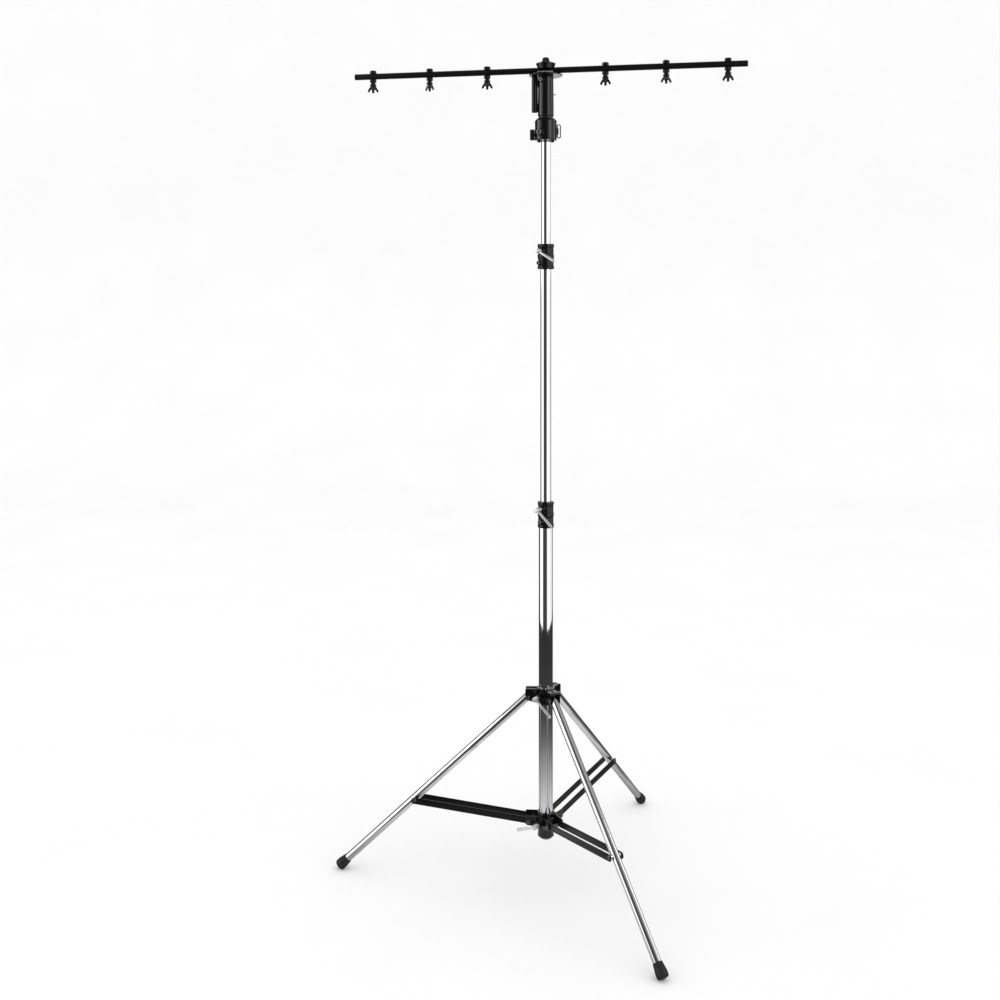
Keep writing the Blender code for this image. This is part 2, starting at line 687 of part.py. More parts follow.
def add_upper_spider(carrier):
    top = LEG_PIVOT_Z + UPPER_HUB_TOP
    low = LEG_PIVOT_Z - UPPER_HUB_BOTTOM
    bore = COLUMN_RADIUS + SLIDE_GAP
    edge = UPPER_HUB_EDGE
    profile = [(0, top), (UPPER_HUB_RADIUS - edge, top), (UPPER_HUB_RADIUS, top - edge)]
    profile += [(UPPER_HUB_RADIUS, low), (0, low)]
    spider = add_part("upper_spider", turned_mesh(profile, FINE), "black_enamel", carrier)
    inner_half = LEG_RADIUS + UPPER_CHEEK_GAP
    outer_half = inner_half + UPPER_CHEEK
    slot_top = UPPER_ARM_TOP - UPPER_WEB
    start = (bore + UPPER_HUB_RADIUS) / 2
    slots = []
    for side, azimuth in LEG_AZIMUTHS.items():
        frame = pivot(side + "_arm_axis", carrier, (0, 0, LEG_PIVOT_Z), (0, 0, azimuth))
        arm = plate_mesh([upper_arm_outline(start)], 2 * outer_half)
        join(spider, add_tool(side + "_arm", arm, frame))
        channel_start = UPPER_HUB_RADIUS + UPPER_CHANNEL_SETOFF
        channel_end = UPPER_ARM_REACH + OVERRUN
        channel = box_mesh((channel_start, -inner_half, -CUTTER_HALF), (channel_end, inner_half, slot_top))
        slots.append(add_tool(side + "_channel", channel, frame))
        hole = across(side + "_pin_hole", frame, PIN_RADIUS + GAP, CUTTER_HALF, (LEG_PIVOT_RADIUS, 0, 0))
        slots.append(hole)
    screw = pivot("upper_boss_axis", carrier, (0, 0, LEG_PIVOT_Z + UPPER_SCREW_RISE), (0, 0, LEVER_AZIMUTH))
    join(spider, outward("upper_boss", screw, UPPER_BOSS_RADIUS, start, UPPER_BOSS_REACH, MEDIUM))
    bore_tool = cylinder_mesh(bore, low - OVERRUN, top + OVERRUN, FINE)
    cut(spider, *slots)
    cut(spider, add_tool("upper_bore", bore_tool, carrier))
    cut(spider, outward("upper_screw_hole", screw, SCREW_RADIUS + SLIDE_GAP, 0, UPPER_BOSS_REACH + OVERRUN))
    add_lever("upper_spider_lever", carrier, LEG_PIVOT_Z + UPPER_SCREW_RISE,
              COLUMN_RADIUS, SPIDER_LEVER_REACH, UPPER_LEVER_SLOPE)


def lower_cheek_outline(start):
    """Side view of a cheek, heights from the brace's pivot."""
    low = LOWER_CHEEK_LOW - BRACE_PIVOT_RISE
    high = LOWER_CHEEK_HIGH - BRACE_PIVOT_RISE
    reach = LOWER_ARM_REACH
    corner = LOWER_CHEEK_CORNER
    outline = [(start, high)]
    outline += arc((reach - corner, high - corner), corner, 90, 0, 3)
    outline += arc((BRACE_PIVOT_RADIUS, 0), -low, 0, -90, 5)
    outline += [(start, low - LOWER_CHEEK_STEP)]
    return outline


def add_lower_spider(root):
    low = LOWER_SPIDER_Z
    top = low + LOWER_SPIDER_HEIGHT
    skirt = low + LOWER_SKIRT_HEIGHT
    bore = COLUMN_RADIUS + GAP
    flare = LOWER_SKIRT_RADIUS - LOWER_HUB_RADIUS
    edge = LOWER_HUB_EDGE
    profile = [(0, top), (LOWER_HUB_RADIUS, top), (LOWER_HUB_RADIUS, skirt + flare)]
    profile += [(LOWER_SKIRT_RADIUS, skirt), (LOWER_SKIRT_RADIUS, low + edge)]
    profile += [(LOWER_SKIRT_RADIUS - edge, low), (0, low)]
    spider = add_part("lower_spider", turned_mesh(profile, FINE), "black_enamel", root)
    inner_half = (BRACE_SPACING + BRACE_THICKNESS) / 2 + LOWER_CHEEK_GAP
    middle = inner_half + LOWER_CHEEK / 2
    cheek_start = (inner_half + LOWER_CHEEK) * math.tan(math.radians(30)) + GAP
    corner_x = middle * math.tan(math.radians(30))
    corner_low = LOWER_CHEEK_LOW - BRACE_PIVOT_RISE - LOWER_CORNER_STEP
    corner_high = LOWER_CHEEK_HIGH - BRACE_PIVOT_RISE + LOWER_CORNER_STEP
    holes = []
    for side, azimuth in LEG_AZIMUTHS.items():
        frame = pivot(side + "_cheek_axis", root, (0, 0, BRACE_PIVOT_Z), (0, 0, azimuth))
        post = cylinder_mesh(LOWER_CORNER_RADIUS, corner_low, corner_high, COARSE)
        join(spider, add_tool(side + "_corner", post, frame, (corner_x, middle, 0)))
        for hand in (-1, 1):
            cheek = plate_mesh([lower_cheek_outline(cheek_start)], LOWER_CHEEK)
            join(spider, add_tool(side + "_cheek", cheek, frame, (0, hand * middle, 0)))
        web_low = low - BRACE_PIVOT_Z + LOWER_WEB_SETOFF
        web_start = COLUMN_RADIUS + LOWER_WEB_SETOFF
        web_high = web_low + LOWER_WEB_THICKNESS
        web = box_mesh((web_start, -middle, web_low), (LOWER_WEB_REACH, middle, web_high))
        join(spider, add_tool(side + "_web", web, frame))
        place = (BRACE_PIVOT_RADIUS, 0, 0)
        holes.append(across(side + "_brace_hole", frame, PIN_RADIUS + GAP, CUTTER_HALF, place, CROSS))
    screw = pivot("lower_boss_axis", root, (0, 0, low + LOWER_SCREW_RISE), (0, 0, LEVER_AZIMUTH))
    start = (bore + LOWER_HUB_RADIUS) / 2
    join(spider, outward("lower_boss", screw, LOWER_BOSS_RADIUS, start, LOWER_BOSS_REACH, MEDIUM))
    cut(spider, *holes)
    cut(spider, add_tool("lower_bore", cylinder_mesh(bore, low - OVERRUN, top + OVERRUN, FINE), root))
    cut(spider, outward("lower_screw_hole", screw, SCREW_RADIUS + SLIDE_GAP, 0, LOWER_BOSS_REACH + OVERRUN))
    add_lever("lower_spider_lever", root, low + LOWER_SCREW_RISE,
              COLUMN_RADIUS, SPIDER_LEVER_REACH, LOWER_LEVER_SLOPE)


# ---------------------------------------------------------------- legs and braces

def foot_mesh():
    """A rubber foot about the leg's axis, its mouth up, the leg's pivot at z = 0."""
    bore = LEG_RADIUS + GAP
    sole = -(LEG_REACH - FOOT_SOLE)
    mouth = -(LEG_REACH - FOOT_LENGTH)
    low = -LEG_REACH
    profile = [(0, sole), (bore, sole), (bore, mouth), (FOOT_MOUTH_RADIUS - FOOT_LIP, mouth)]
    profile += [(FOOT_MOUTH_RADIUS, mouth - FOOT_LIP), (FOOT_RADIUS, low + FOOT_TAPER_END)]
    profile += arc((FOOT_EDGE, low + FOOT_ROUNDING), FOOT_ROUNDING, 0, -90, 4)
    profile += [(0, low)]
    return turned_mesh(profile, MEDIUM)


def beside_axis(radius, azimuth, height):
    return (radius * math.cos(azimuth), radius * math.sin(azimuth), height)


def add_leg(side, azimuth, carrier, floor):
    place = beside_axis(LEG_PIVOT_RADIUS, azimuth, LEG_PIVOT_Z)
    frame = pivot(f"leg_{side}_pivot", carrier, place, (0, 0, azimuth))
    tilt = (0, -LEG_TILT, 0)
    tube_end = -(LEG_REACH - FOOT_SOLE - GAP)
    tube = tube_mesh(LEG_RADIUS, LEG_RADIUS - LEG_WALL, tube_end, LEG_HEAD, MEDIUM)
    leg = add_part(f"leg_{side}", tube, "chrome", frame, (0, 0, 0), tilt)
    drill = pivot(f"leg_{side}_line", frame, (0, 0, 0), tilt)
    cut(leg, across(f"leg_{side}_pin_hole", drill, PIN_RADIUS + GAP, CUTTER_HALF))
    bush_half = (BRACE_SPACING - BRACE_THICKNESS) / 2 - GAP
    join(leg, across(f"leg_{side}_bush", drill, BUSH_RADIUS, bush_half, (0, 0, -LEG_BRACE_AT), CROSS))
    foot = add_part(f"foot_{side}", foot_mesh(), "black_rubber", frame, (0, 0, 0), tilt)
    cut(foot, floor)
    arm_half = LEG_RADIUS + UPPER_CHEEK_GAP + UPPER_CHEEK
    add_part(f"leg_pin_{side}", pin_mesh(arm_half), "grey_steel", frame)


def brace_outline():
    """A bar with round ends, its lower hole at the origin and its upper hole BRACE_LENGTH along +X."""
    half = BRACE_HEIGHT / 2
    inner = (0, BRACE_INNER_OFFSET)
    outer = (BRACE_LENGTH, BRACE_OUTER_OFFSET)
    return arc(outer, half, -90, 90, 8) + arc(inner, half, 90, 270, 8)


def add_brace(side, azimuth, root):
    place = beside_axis(BRACE_PIVOT_RADIUS, azimuth, BRACE_PIVOT_Z)
    frame = pivot(f"brace_{side}_pivot", root, place, (0, 0, azimuth))
    slope = (0, -BRACE_SLOPE, 0)
    hole = arc((0, 0), PIN_RADIUS + GAP, 0, 337.5, 15)
    for hand, label in ((-1, "a"), (1, "b")):
        offset = hand * BRACE_SPACING / 2
        bar = plate_mesh([brace_outline(), hole], BRACE_THICKNESS)
        name = f"brace_{side}_{label}"
        brace = add_part(name, bar, "black_steel", frame, (0, offset, 0), slope)
        low, high = sorted((0, hand * (BRACE_THICKNESS / 2 + RIVET_HEIGHT)))
        rivet = cylinder_mesh(RIVET_RADIUS, -high, -low, COARSE)
        rivet.transform(Matrix.Translation((BRACE_LENGTH, 0, 0)) @ Matrix.Rotation(math.pi / 2, 4, "X"))
        join(brace, add_tool(name + "_rivet", rivet, frame, (0, offset, 0), slope))
    cheek = (BRACE_SPACING + BRACE_THICKNESS) / 2 + LOWER_CHEEK_GAP + LOWER_CHEEK
    add_part(f"brace_pin_{side}", pin_mesh(cheek), "grey_steel", frame)


# ---------------------------------------------------------------- top socket

def add_top_socket(carrier):
    top = SOCKET_HEIGHT
    riser_bore = UPPER_RADIUS + GAP
    spigot_bore = SPIGOT_RADIUS + SLIDE_GAP
    step = SOCKET_GRIP + GAP
    profile = [(SOCKET_RADIUS - SOCKET_CHAMFER, top), (SOCKET_RADIUS, top - SOCKET_CHAMFER)]
    profile += [(SOCKET_RADIUS, 0), (riser_bore, 0), (riser_bore, step)]
    profile += [(spigot_bore, step), (spigot_bore, top)]
    body = turned_mesh(profile, FINE, closed=True)
    socket = add_part("top_socket", body, "black_enamel", carrier, (0, 0, SOCKET_Z))
    for hand in (-1, 1):
        tie = cylinder_mesh(TIE_RADIUS, -TIE_DROP, TIE_ROOT, COARSE)
        join(socket, add_tool("tie_end", tie, carrier, (hand * TIE_OFFSET, 0, SOCKET_Z)))
    lug_z = SOCKET_Z + LOOP_RISE
    lug = cylinder_mesh(LUG_RADIUS, -LUG_LENGTH / 2, LUG_LENGTH / 2, COARSE)
    join(socket, add_tool("loop_lug", lug, carrier, (LOOP_OFFSET, 0, lug_z)))
    lug_bore = cylinder_mesh(LOOP_WIRE_RADIUS + GAP, -LUG_LENGTH, LUG_LENGTH, COARSE)
    cut(socket, add_tool("loop_bore", lug_bore, carrier, (LOOP_OFFSET, 0, lug_z)))
    add_socket_bolt("top_socket_bolt", socket, carrier, SOCKET_BOLT_AZIMUTH, SOCKET_Z + SOCKET_BOLT_RISE,
                    SOCKET_BOLT_SEAT, SOCKET_BOLT_SIZE)
    knob_frame = pivot("top_socket_knob_axis", carrier, (0, 0, SOCKET_Z + KNOB_RISE), (0, 0, KNOB_AZIMUTH))
    cut(socket, outward("knob_hole", knob_frame, KNOB_SHANK_RADIUS + SLIDE_GAP, 0, SOCKET_RADIUS + OVERRUN))
    add_socket_knob(knob_frame)
    add_latch_loop(carrier, lug_z)


def add_socket_knob(frame):
    tip = UPPER_RADIUS + GAP
    seat = KNOB_SEAT
    edge = KNOB_EDGE
    top = seat + KNOB_THICKNESS
    profile = [(0, top), (KNOB_RADIUS - edge, top), (KNOB_RADIUS, top - edge), (KNOB_RADIUS, seat + edge)]
    profile += [(KNOB_RADIUS - edge, seat), (KNOB_SHANK_RADIUS, seat), (KNOB_SHANK_RADIUS, tip), (0, tip)]
    facing = (0, math.pi / 2, 0)
    add_part("top_socket_knob", turned_mesh(profile, FINE), "black_plastic", frame, (0, 0, 0), facing)


def add_latch_loop(carrier, height):
    frame = pivot("latch_loop_axis", carrier, (LOOP_OFFSET, 0, height))
    half = LOOP_HEIGHT / 2 - LOOP_CORNER
    right = LOOP_WIDTH - LOOP_CORNER
    corners = [((LOOP_CORNER, half), 180), ((right, half), 90)]
    corners += [((right, -half), 0), ((LOOP_CORNER, -half), -90)]
    path = []
    for centre, start in corners:
        path += arc(centre, LOOP_CORNER, start, start - 90, 4)
    wire = wire_mesh([(x, 0, z) for x, z in path], LOOP_WIRE_RADIUS, True)
    add_part("latch_loop", wire, "black_steel", frame)


# ---------------------------------------------------------------- adaptor and T-bar

def add_adaptor(swivel):
    washer_top = WASHER_Z + WASHER_THICKNESS
    washer = tube_mesh(WASHER_RADIUS, SPIGOT_RADIUS + SLIDE_GAP, WASHER_Z, washer_top)
    add_part("swivel_washer", washer, "black_plastic", swivel)
    spigot_end = ADAPTOR_Z - WASHER_THICKNESS - SPIGOT_LENGTH
    edge = ADAPTOR_EDGE
    stud_bore = STUD_RADIUS + GAP
    stud_floor = BAR_Z + CLAMP_HIGH - STUD_LENGTH - STUD_HOLE_CLEARANCE
    profile = [(0, stud_floor), (stud_bore, stud_floor), (stud_bore, ADAPTOR_TOP)]
    profile += [(ADAPTOR_TOP_RADIUS - edge, ADAPTOR_TOP), (ADAPTOR_TOP_RADIUS, ADAPTOR_TOP - edge)]
    profile += [(ADAPTOR_LOW_RADIUS, ADAPTOR_Z), (SPIGOT_RADIUS, ADAPTOR_Z)]
    profile += [(SPIGOT_RADIUS, spigot_end + edge), (SPIGOT_RADIUS - edge, spigot_end), (0, spigot_end)]
    body = add_part("adaptor_body", turned_mesh(profile, FINE), "black_enamel", swivel)
    bolt_z = ADAPTOR_TOP - ADAPTOR_BOLT_DROP
    add_socket_bolt("adaptor_bolt", body, swivel, ADAPTOR_BOLT_AZIMUTH, bolt_z, ADAPTOR_BOLT_SEAT)
    add_release_pin(body, swivel)
    side = -(ADAPTOR_LOW_RADIUS + GAP + SIDE_SOCKET_RADIUS)
    low = ADAPTOR_TOP - SIDE_SOCKET_LENGTH
    tube = tube_mesh(SIDE_SOCKET_RADIUS, SIDE_SOCKET_BORE, low, ADAPTOR_TOP, MEDIUM)
    add_part("side_socket", tube, "black_enamel", swivel, (side, 0, 0))


def add_release_pin(body, swivel):
    pin_frame = pivot("release_pin_axis", swivel, (0, 0, ADAPTOR_TOP - RELEASE_PIN_DROP))
    start = RELEASE_PIN_REACH - RELEASE_PIN_LENGTH
    hole_start = start - RELEASE_PIN_TRAVEL - 2 * GAP
    bore = RELEASE_PIN_RADIUS + SLIDE_GAP
    cut(body, outward("release_hole", pin_frame, bore, hole_start, ADAPTOR_LOW_RADIUS + OVERRUN))
    pin = cylinder_mesh(RELEASE_PIN_RADIUS, start, RELEASE_PIN_REACH, COARSE)
    add_part("release_pin", pin, "grey_steel", pin_frame, (0, 0, 0), (0, math.pi / 2, 0))


def add_plate(swivel):
    """The round flange and, joined to it, the cradle that the bar lies in."""
    bore = STUD_RADIUS + GAP
    edge = PLATE_EDGE
    profile = [(0, PLATE_TOP), (PLATE_RADIUS - edge, PLATE_TOP), (PLATE_RADIUS, PLATE_TOP - edge)]
    profile += [(PLATE_RADIUS, PLATE_Z + edge), (PLATE_RADIUS - edge, PLATE_Z), (0, PLATE_Z)]
    plate = add_part("adaptor_plate", turned_mesh(profile, FINE), "black_enamel", swivel)
    half = (CRADLE_LENGTH / 2, CRADLE_WIDTH / 2)
    cradle_low = PLATE_TOP - SHORT_OVERRUN
    block = box_mesh((-half[0], -half[1], cradle_low), (half[0], half[1], PLATE_TOP + CRADLE_HEIGHT))
    join(plate, add_tool("cradle_block", block, swivel))
    groove = cylinder_mesh(BAR_RADIUS + GAP, -CUTTER_HALF, CUTTER_HALF, FINE)
    cut(plate, add_tool("cradle_groove", groove, swivel, (0, 0, BAR_Z), (0, math.pi / 2, 0)))
    stud = cylinder_mesh(bore, PLATE_Z - OVERRUN, BAR_Z, MEDIUM)
    cut(plate, add_tool("plate_stud_hole", stud, swivel))


def lamp_places():
    """Where the lamp bolts stand along the bar, from left to right."""
    half = LAMP_COUNT // 2
    return [LAMP_PITCH * step for step in range(-half, half + 1) if step]


def add_bar(swivel):
    tube = tube_mesh(BAR_RADIUS, BAR_RADIUS - BAR_WALL, -BAR_HALF_LENGTH, BAR_HALF_LENGTH, MEDIUM)
    bar = add_part("t_bar", tube, "black_steel", swivel, (0, 0, BAR_Z), (0, math.pi / 2, 0))
    for index, place in enumerate(lamp_places(), 1):
        hole = cylinder_mesh(LAMP_BOLT_RADIUS + GAP, -CUTTER_HALF, CUTTER_HALF, COARSE)
        cut(bar, add_tool(f"lamp_hole_{index}", hole, swivel, (place, 0, BAR_Z)))
    hole = cylinder_mesh(STUD_RADIUS + GAP, -CUTTER_HALF, CUTTER_HALF, COARSE)
    cut(bar, add_tool("stud_hole", hole, swivel, (0, 0, BAR_Z)))


def add_bar_clamp(swivel):
    bore = STUD_RADIUS + GAP
    rim_in, rim_down = CLAMP_RIM_EDGE
    foot_out, foot_up = CLAMP_FOOT_EDGE
    profile = [(CLAMP_RADIUS - rim_in, CLAMP_HIGH), (CLAMP_RADIUS, CLAMP_HIGH - rim_down)]
    profile += [(CLAMP_FOOT_RADIUS + foot_out, CLAMP_LOW + foot_up), (CLAMP_FOOT_RADIUS, CLAMP_LOW)]
    profile += [(bore, CLAMP_LOW), (bore, CLAMP_HIGH)]
    body = turned_mesh(profile, FINE, closed=True)
    clamp = add_part("bar_clamp", body, "black_enamel", swivel, (0, 0, BAR_Z))
    groove = cylinder_mesh(BAR_RADIUS + GAP, -CUTTER_HALF, CUTTER_HALF, FINE)
    cut(clamp, add_tool("clamp_groove", groove, swivel, (0, 0, BAR_Z), (0, math.pi / 2, 0)))
    seat = CLAMP_HIGH + GAP
    top = seat + TOP_KNOB_HEIGHT
    end = CLAMP_HIGH - STUD_LENGTH
    edge = TOP_KNOB_EDGE
    knob = [(0, top), (TOP_KNOB_TIP_RADIUS - edge, top), (TOP_KNOB_TIP_RADIUS, top - edge)]
    knob += [(TOP_KNOB_RADIUS, seat + edge), (TOP_KNOB_RADIUS, seat)]
    knob += [(STUD_RADIUS, seat), (STUD_RADIUS, end), (0, end)]
    add_part("top_knob", turned_mesh(knob, MEDIUM), "black_plastic", swivel, (0, 0, BAR_Z))


def lamp_bolt_mesh():
    """A bolt through the bar, with the lock nut under it; the bar's axis is z = 0."""
    seat = BAR_RADIUS + GAP
    top = seat + LAMP_CAP_HEIGHT
    cap = [(0, top), (LAMP_CAP_RADIUS - LAMP_CAP_CHAMFER, top), (LAMP_CAP_RADIUS, top - LAMP_CAP_CHAMFER)]
    cap += [(LAMP_CAP_RADIUS, seat), (LAMP_BOLT_RADIUS, seat), (LAMP_BOLT_RADIUS, -seat)]
    nut_low = -seat - LOCK_NUT_HEIGHT
    collar_low = nut_low - LAMP_COLLAR_HEIGHT
    nut = [(LOCK_NUT_RADIUS, -seat), (LOCK_NUT_RADIUS, nut_low), (LAMP_COLLAR_RADIUS, nut_low)]
    nut += [(LAMP_COLLAR_RADIUS, collar_low), (LAMP_BOLT_RADIUS, collar_low)]
    edge = LAMP_BOLT_EDGE
    end = [(LAMP_BOLT_RADIUS, edge - LAMP_BOLT_END), (LAMP_BOLT_RADIUS - edge, -LAMP_BOLT_END)]
    end += [(0, -LAMP_BOLT_END)]
    return turned_mesh(cap + nut + end, COARSE)


def wing_outline(hand):
    """One wing of a wing nut, from the flange's top at z = 0."""
    root = WING_HUB_RADIUS - WING_EDGE
    tip = WING_SPREAD
    drop = WING_DROP
    high, low = WING_ROOT
    points = [(root, high), (root + 3 * WING_EDGE, -WING_FLANGE_HEIGHT), (tip, 5 * WING_EDGE - drop)]
    points += [(tip - WING_EDGE / 2, WING_EDGE - drop), (tip - 4 * WING_EDGE, -drop), (root, low)]
    return [(hand * x, z) for x, z in points]


def add_wing_nut(index, frame):
    top = -(BAR_RADIUS + 2 * GAP + LOCK_NUT_HEIGHT + LAMP_COLLAR_HEIGHT)
    low = -WING_FLANGE_HEIGHT
    hub_low = low - WING_HUB_HEIGHT
    bore = LAMP_BOLT_RADIUS + SLIDE_GAP
    edge = WING_EDGE
    profile = [(WING_FLANGE_RADIUS - 2 * edge, 0), (WING_FLANGE_RADIUS, -WING_SHOULDER)]
    profile += [(WING_FLANGE_RADIUS - edge, low + edge), (WING_HUB_RADIUS, low)]
    profile += [(WING_HUB_RADIUS - edge, hub_low), (bore, hub_low), (bore, 0)]
    name = f"wing_nut_{index}"
    nut = add_part(name, turned_mesh(profile, COARSE, closed=True), "black_enamel", frame, (0, 0, top))
    for hand in (-1, 1):
        wing = plate_mesh([wing_outline(hand)], WING_THICKNESS)
        join(nut, add_tool(name + "_wing", wing, frame, (0, 0, top)))


def add_lamp_bolts(swivel):
    for index, place in enumerate(lamp_places(), 1):
        bolt = lamp_bolt_mesh()
        add_part(f"lamp_bolt_{index}", bolt, "black_steel", swivel, (place, 0, BAR_Z))
        turn = math.radians(WING_TURNS[index - 1])
        frame = pivot(f"wing_nut_{index}_axis", swivel, (place, 0, BAR_Z), (0, 0, turn))
        add_wing_nut(index, frame)


# ---------------------------------------------------------------- assembly

def build_stand():
    root = pivot("column_axis", None, (AXIS_X, 0, 0))
    add_column(root)
    add_plug(root)
    add_lower_spider(root)
    spider_slide = pivot("upper_spider_slide", root)
    add_upper_spider(spider_slide)
    floor = add_tool("floor_cut", box_mesh((-1, -1, -CUTTER_HALF), (1, 1, 0)), root)
    for side, azimuth in LEG_AZIMUTHS.items():
        add_leg(side, azimuth, spider_slide, floor)
        add_brace(side, azimuth, root)
    add_collar("base_collar", root, BASE_COLLAR_Z, BASE_COLLAR_RADIUS, BASE_COLLAR_HEIGHT,
               (COLUMN_RADIUS + GAP, MIDDLE_RADIUS + SLIDE_GAP), BASE_SCREW_RISE,
               (BASE_BOLT_AZIMUTH, BASE_BOLT_RISE, BASE_BOLT_SEAT))
    add_lever("base_collar_lever", root, BASE_COLLAR_Z + BASE_SCREW_RISE,
              MIDDLE_RADIUS, COLLAR_LEVER_REACH, BASE_LEVER_SLOPE)
    middle = pivot("middle_slide", root)
    add_riser("middle_riser", middle, MIDDLE_RADIUS, MIDDLE_BOTTOM, MIDDLE_TOP)
    add_guide("middle_guide", middle, COLUMN_RADIUS - COLUMN_WALL, MIDDLE_RADIUS, MIDDLE_BOTTOM)
    add_collar("riser_collar", middle, RISER_COLLAR_Z, RISER_COLLAR_RADIUS, RISER_COLLAR_HEIGHT,
               (MIDDLE_RADIUS + GAP, UPPER_RADIUS + SLIDE_GAP), RISER_SCREW_RISE,
               (RISER_BOLT_AZIMUTH, RISER_BOLT_RISE, RISER_BOLT_SEAT))
    add_lever("riser_collar_lever", middle, RISER_COLLAR_Z + RISER_SCREW_RISE,
              UPPER_RADIUS, COLLAR_LEVER_REACH, RISER_LEVER_SLOPE)
    upper = pivot("upper_slide", middle)
    add_riser("upper_riser", upper, UPPER_RADIUS, UPPER_BOTTOM, UPPER_TOP)
    add_guide("upper_guide", upper, MIDDLE_RADIUS - RISER_WALL, UPPER_RADIUS, UPPER_BOTTOM)
    add_top_socket(upper)
    swivel = pivot("bar_swivel", upper, (0, 0, 0), (0, 0, BAR_TURN))
    add_adaptor(swivel)
    add_plate(swivel)
    add_bar(swivel)
    add_bar_clamp(swivel)
    add_lamp_bolts(swivel)


def finish_parts():
    bpy.context.view_layer.update()
    parts = [obj for obj in PARTS.objects if obj.type == "MESH"]
    meshes = [finish_part(obj) for obj in parts]
    for obj, mesh in zip(parts, meshes):
        obj.modifiers.clear()
        obj.data = mesh
    for obj in list(TOOLS.objects):
        bpy.data.objects.remove(obj, do_unlink=True)


clear_scene()
PARTS = new_collection("lighting_stand")
TOOLS = new_collection("cutters")
build_stand()
finish_parts()
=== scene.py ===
"""The looks of a three-section lighting stand with a T-bar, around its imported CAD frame. Metres, +Z up."""

import math

import bmesh
import bpy
from mathutils import Matrix, Vector


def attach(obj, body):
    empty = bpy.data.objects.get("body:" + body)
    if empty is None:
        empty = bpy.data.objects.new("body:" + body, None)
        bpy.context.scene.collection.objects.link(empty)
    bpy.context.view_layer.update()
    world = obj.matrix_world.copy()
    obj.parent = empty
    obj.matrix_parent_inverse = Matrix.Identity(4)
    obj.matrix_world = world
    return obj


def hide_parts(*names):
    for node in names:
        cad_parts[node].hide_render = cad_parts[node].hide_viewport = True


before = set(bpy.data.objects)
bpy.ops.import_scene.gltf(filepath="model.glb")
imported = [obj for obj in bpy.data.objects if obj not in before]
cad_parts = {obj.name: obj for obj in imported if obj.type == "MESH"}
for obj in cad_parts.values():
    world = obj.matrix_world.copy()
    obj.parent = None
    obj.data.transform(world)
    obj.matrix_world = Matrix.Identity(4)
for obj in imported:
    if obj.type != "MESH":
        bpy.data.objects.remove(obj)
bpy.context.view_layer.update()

GAP = 0.0003
AXIS_X = 0.0235755           # the column's axis
BAR_TURN = math.radians(-6.6)
LEGS = {"left": math.radians(180), "front": math.radians(-60), "rear": math.radians(60)}

# Heights, from the floor up
PLUG_LOW, PLUG_TOP = 0.121, 0.157
COLUMN_LOW, COLUMN_TOP = 0.1313, 1.138
LOWER_Z, BRACE_Z = 0.1573, 0.179
LEG_Z = 0.5716878
BASE_COLLAR_Z, BASE_COLLAR_H = 1.113, 0.083
MIDDLE_LOW, MIDDLE_TOP = 0.8835, 1.9635
RISER_COLLAR_Z, RISER_COLLAR_H = 1.9385, 0.0805
UPPER_LOW, UPPER_TOP = 1.290, 2.380
SOCKET_Z, SOCKET_H = 2.350, 0.071
WASHER_Z, WASHER_H = 2.4213, 0.0054
ADAPTOR_Z, ADAPTOR_TOP = 2.4270, 2.5560
PLATE_Z, PLATE_TOP = 2.5563, 2.5603
BAR_Z = 2.5743

BAR_HALF = 0.634             # half the T-bar's length
LAMP_STEP = 0.191            # between lamp bolts

# Tubes
COLUMN_R, MIDDLE_R, UPPER_R, LEG_R, BAR_R = 0.0225, 0.0175, 0.015, 0.0125, 0.0097
ADAPTOR_R = 0.0255           # at its lower end
COLUMN_BORE = 0.0205
RISER_WALL = 0.0015

# Legs and braces
LEG_TILT = math.radians(47.4)
LEG_REACH = 0.831
LEG_PIVOT_R = 0.057
LEG_BRACE_AT = 0.495
BRACE_PIVOT_R = 0.055
BRACE_LENGTH = 0.3708736
BRACE_SLOPE = math.radians(8.940062)

# Clamp levers: all four stand out on one side of the column
LEVER_SIDE = math.radians(-120)
LEVER_LENGTH, LEVER_ROOT, LEVER_TIP = 0.074, 0.0036, 0.0050
SPIDER_REACH, COLLAR_REACH = 0.062, 0.053

MIDDLE_AXIS = Matrix.Translation((AXIS_X, 0, 0))
SWIVEL = MIDDLE_AXIS @ Matrix.Rotation(BAR_TURN, 4, "Z")
TOWARD_X = Matrix.Rotation(math.pi / 2, 4, "Y")      # turns a shape's +Z to +X
TOWARD_Y = Matrix.Rotation(-math.pi / 2, 4, "X")     # turns a shape's +Z to +Y


# ---------------------------------------------------------------- mesh tools

def spot(azimuth=0.0, radius=0.0, height=0.0, tilt=0.0, side=0.0, base=MIDDLE_AXIS):
    """A place beside the column: out along azimuth, side across it, tilted about its own Y axis."""
    turn = Matrix.Rotation(azimuth, 4, "Z")
    return base @ turn @ Matrix.Translation((radius, side, height)) @ Matrix.Rotation(tilt, 4, "Y")


def rounded(points, size, closed=False, steps=3):
    """The same profile with its corners rounded; points on the axis stay sharp."""
    result = []
    count = len(points)
    for i, point in enumerate(points):
        ends = not closed and i in (0, count - 1)
        if ends or point[0] < 1e-6:
            result.append(point)
            continue
        here = Vector(point)
        before = Vector(points[i - 1]) - here
        after = Vector(points[(i + 1) % count]) - here
        reach = min(size, 0.45 * before.length, 0.45 * after.length)
        start = here + before.normalized() * reach
        end = here + after.normalized() * reach
        for step in range(steps + 1):
            t = step / steps
            result.append(tuple(start * (1 - t) ** 2 + here * 2 * t * (1 - t) + end * t * t))
    return result


